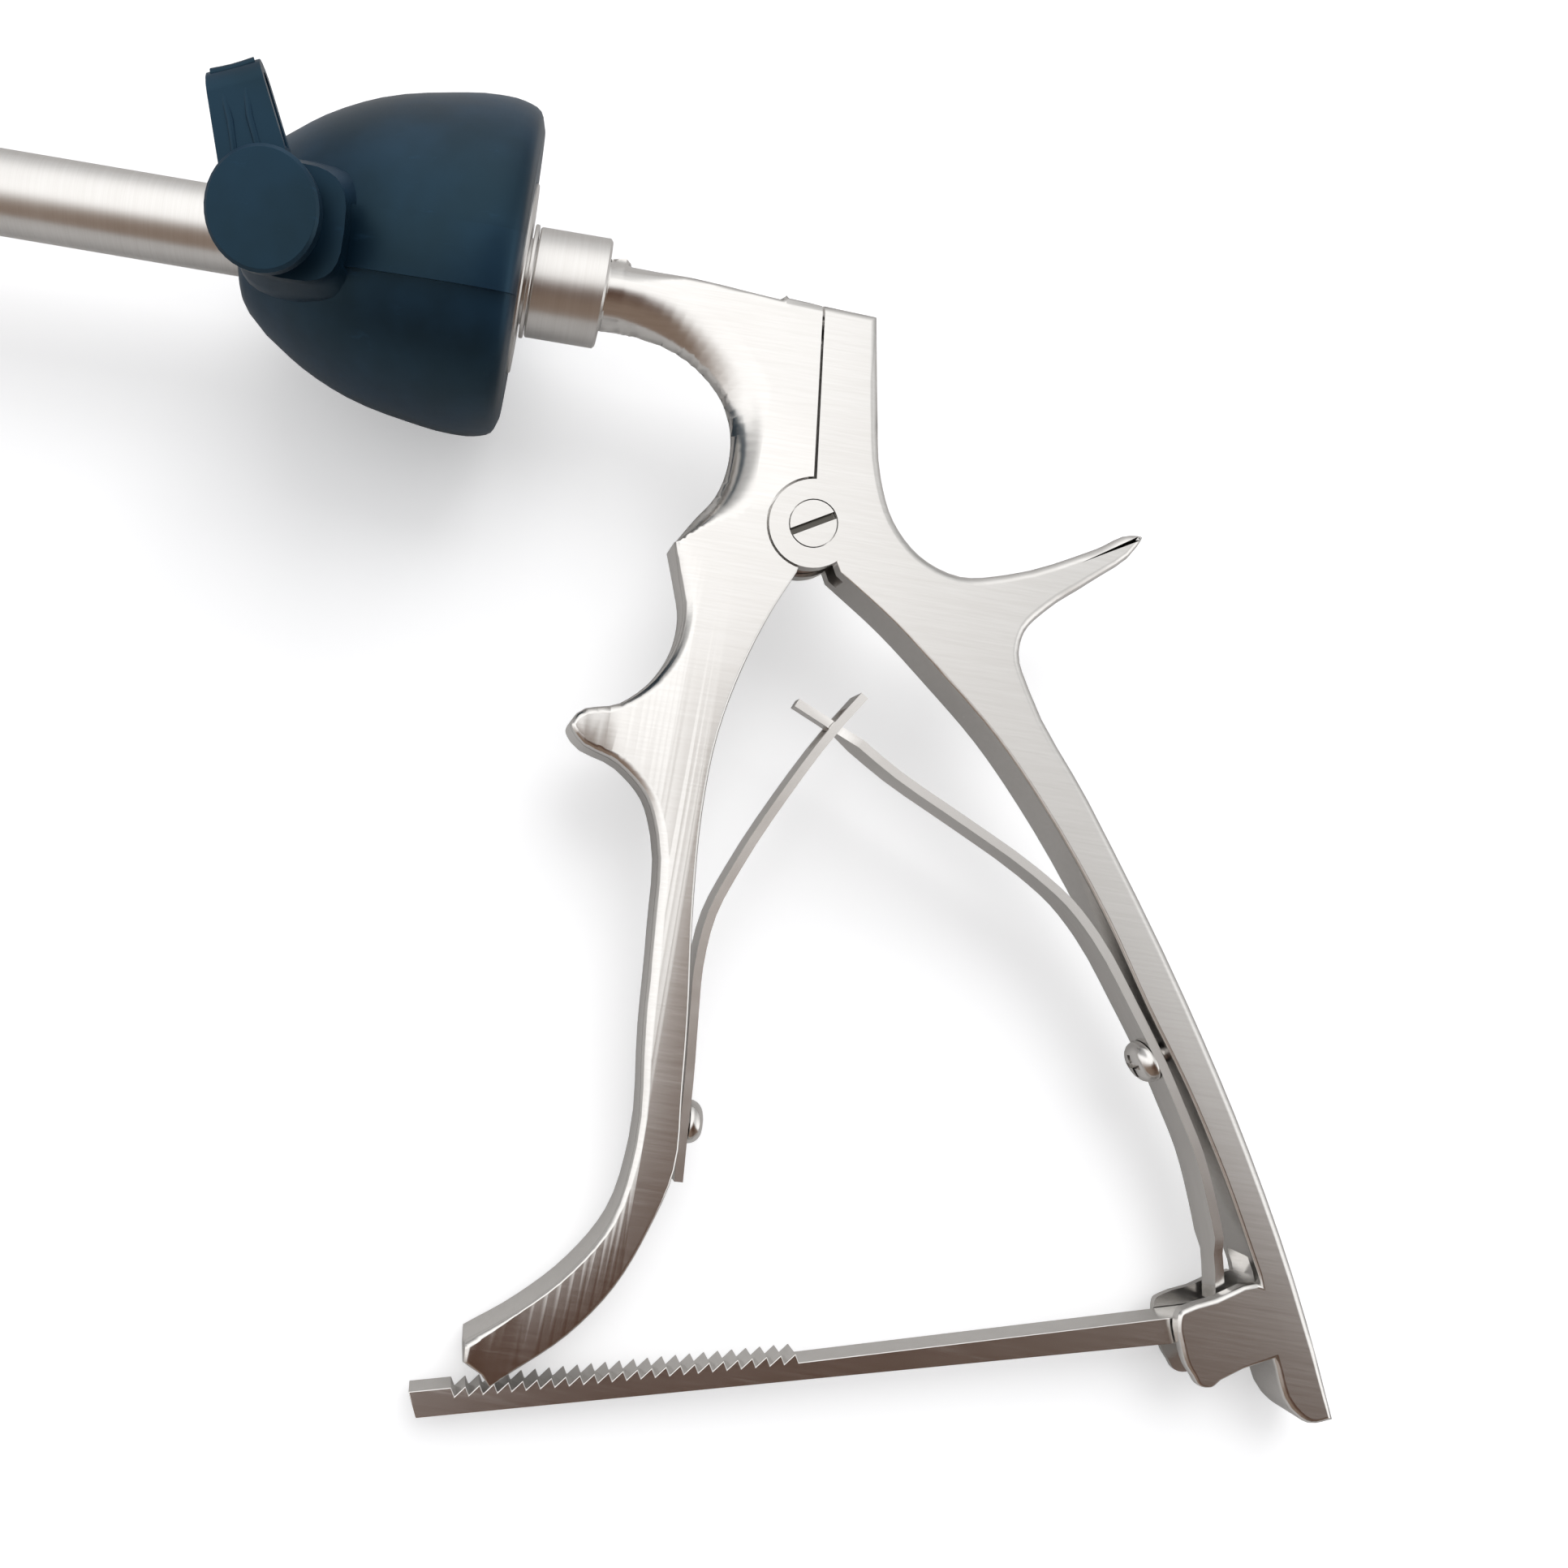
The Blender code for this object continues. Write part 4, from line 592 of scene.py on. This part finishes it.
def plain_bar_edge():
    """The bar's outline without its teeth, as one open line of edges from the tip round the heel."""
    high = BAR_HALF_HEIGHT
    end = TOOTH_START + TOOTH_COUNT * TOOTH_PITCH
    points = [(-end, high), (-BAR_LENGTH, high), (-BAR_LENGTH + BAR_TIP_SLANT, -high)]
    for step in range(HEEL_STEPS + 1):
        angle = math.pi * (step / HEEL_STEPS - 0.5)
        points.append((high * math.cos(angle) + BAR_HEEL - high, high * math.sin(angle)))
    points.append((TOOTH_STEEP - TOOTH_START, high - TOOTH_DEPTH))
    edge = bpy.data.meshes.new("bar_edge")
    lines = [(k, k + 1) for k in range(len(points) - 1)]
    edge.from_pydata([(x, y, 0.0) for x, y in points], lines, [])
    return edge


def grown(name, edge, tree, values):
    """The plain mesh that a tree and a fine chamfer make of the given edges."""
    made = placed(name, edge)
    grow = made.modifiers.new("grow", "NODES")
    grow.node_group = tree
    for item in tree.interface.items_tree:
        if item.in_out == "INPUT" and item.name in values:
            grow[item.identifier] = values[item.name]
    chamfer = made.modifiers.new("chamfer", "BEVEL")
    chamfer.width = BAR_CHAMFER
    chamfer.segments = 2
    chamfer.limit_method = "ANGLE"
    chamfer.angle_limit = math.radians(35)
    return plain_mesh(made)


bar_steel = steel(
    "bar_steel", (90.0, 1900.0, 700.0), turn=(0, 0, -BAR_TURN), rough=0.22, relief=0.025
)
bar_sizes = {
    "Teeth": TOOTH_COUNT, "Pitch": TOOTH_PITCH, "Depth": TOOTH_DEPTH, "Steep": TOOTH_STEEP,
    "Start": TOOTH_START, "Half height": BAR_HALF_HEIGHT, "Half width": BAR_HALF_WIDTH,
    "Bore": BAR_BORE, "Turn": BAR_TURN, "Hinge": BAR_HINGE, "Steel": bar_steel,
}
bar_mesh = grown("saw_bar", plain_bar_edge(), saw_bar_tree(), bar_sizes)
dressed("ratchet_bar", "ratchet_bar", bar_steel, crease=20.0, data=bar_mesh)
dressed("ratchet_pin", "rear_handle", pin_steel)

# Cone: a port cone moulded in navy plastic, on a steel sleeve that slides on the tube and whose
# disc closes the rear. A moulded lever, with a lip and two beads for the thumb, turns the clamp's
# stud in its bush, and a rubber seal lines the nose.

NAVY_LIGHT = (0.008, 0.026, 0.052)
NAVY_DARK = (0.003, 0.011, 0.022)
NAVY_SHEEN = (0.42, 0.78, 1.0)
RUBBER_LIGHT, RUBBER_DARK = (0.03, 0.03, 0.032), (0.018, 0.018, 0.02)
CONE_SOFT, LEVER_SOFT = 0.2 * MM, 0.5 * MM
PORE_SCALE, RUB_SCALE, PLASTIC_CLOUD = 5200.0, 160.0, 90.0
RUB_SHARE, RUB_PALER = 0.35, 2.6
PLASTIC_RELIEF = 0.04 * MM
LEVER_PLACE = Vector((0.074774, 0.061786, 0.0195))
LEVER_UP = Vector((0.0, -0.33545, 0.94206))
LEVER_ACROSS = Vector((0.9336, 0.3376, 0.1202))
LIP_RADIUS, BEAD_RADIUS = 0.5, 0.42
LIP = [
    (-2.4, 13.95, 25.5), (-1.2, 13.85, 25.6), (0.0, 13.8, 25.65), (1.2, 13.85, 25.6),
    (2.4, 13.95, 25.5),
]
LEFT_BEAD = [(-1.7, 5.9, 26.8), (-1.35, 9.0, 26.9), (-1.5, 12.4, 26.5)]
RIGHT_BEAD = [(0.9, 5.9, 26.8), (0.75, 9.0, 26.9), (1.1, 12.4, 26.5)]


def moulded(name, light, dark, rough, gloss=0.42, sheen=WHITE):
    """Moulded plastic: an even tone with a faint cloud, fine pores and a few dull rub marks."""
    made = bpy.data.materials.new(name)
    made.use_nodes = True
    shader = made.node_tree.nodes["Principled BSDF"]
    paint = Wire(made.node_tree)
    shader.inputs["Specular IOR Level"].default_value = gloss
    shader.inputs["Specular Tint"].default_value = (*sheen, 1.0)
    cloud = paint.noise(paint.object_place(), PLASTIC_CLOUD, 3.0)
    pores = paint.noise(paint.object_place(), PORE_SCALE, 2.0)
    rubs = paint.noise(paint.object_place(scale=(1.0, 3.0, 1.0)), RUB_SCALE, 5.0, 0.7)
    rubs = rubs.between(0.60, 0.78)
    tone = paint.mix(cloud.between(0.3, 0.7), dark, light)
    tone = paint.mix(rubs * RUB_SHARE, tone, tuple(RUB_PALER * part for part in light))
    paint.feed(tone, shader.inputs["Base Color"])
    paint.feed(cloud * 0.10 + pores * 0.06 + rubs * 0.10 + (rough - 0.08), shader.inputs["Roughness"])
    fine = {"Strength": 0.06, "Distance": PLASTIC_RELIEF, "Height": pores + rubs * 0.4}
    paint.feed(paint.node("Bump", {}, fine), shader.inputs["Normal"])
    return made


def beads(name, runs):
    """Round beads along runs of points given in the lever's own millimetres."""
    rail = bpy.data.curves.new(name, "CURVE")
    rail.dimensions = "3D"
    rail.use_fill_caps = True
    rail.bevel_resolution = 3
    rail.bevel_depth = 1.0 * MM
    along_lever = LEVER_UP.cross(LEVER_ACROSS)
    for run, radius in runs:
        line = rail.splines.new("POLY")
        line.points.add(len(run) - 1)
        for spot, (across, along, up) in zip(line.points, run):
            place = LEVER_ACROSS * across + along_lever * along + LEVER_UP * up
            spot.co = (*(LEVER_PLACE + place * MM), 1.0)
            spot.radius = radius
    data = plain_mesh(placed(name, rail))
    data.shade_smooth()
    return data


navy = moulded("navy_moulding", NAVY_LIGHT, NAVY_DARK, 0.38, gloss=0.55, sheen=NAVY_SHEEN)
rubber = moulded("rubber", RUBBER_LIGHT, RUBBER_DARK, 0.62)
dressed("cone_body", "cone", navy, soften=CONE_SOFT)
dressed("clamp_lever", "clamp_lever", navy, soften=LEVER_SOFT)
lever_runs = [(LIP, LIP_RADIUS), (LEFT_BEAD, BEAD_RADIUS), (RIGHT_BEAD, BEAD_RADIUS)]
lever_beads = coated("lever_beads", beads("lever_beads", lever_runs), navy)
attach(lever_beads, "clamp_lever")
dressed("cone_sleeve", "cone_sleeve", turned_steel)
dressed("cone_seal", "cone", rubber)
dressed("clamp_bush", "cone", pin_steel)
dressed("clamp_stud", "clamp_lever", pin_steel)

# Guides and the clamp's tip: small turned pieces of white plastic, inside the tube and the clamp.
# They let the rod slide without wearing the tube, and the tip grips the tube without marking it.

CREAM_LIGHT, CREAM_DARK = (0.82, 0.82, 0.80), (0.74, 0.74, 0.72)

white_plastic = moulded("white_moulding", CREAM_LIGHT, CREAM_DARK, 0.42)
dressed("front_rod_guide", "frame", white_plastic)
dressed("rear_rod_guide", "frame", white_plastic)
dressed("clamp_tip", "cone", white_plastic)
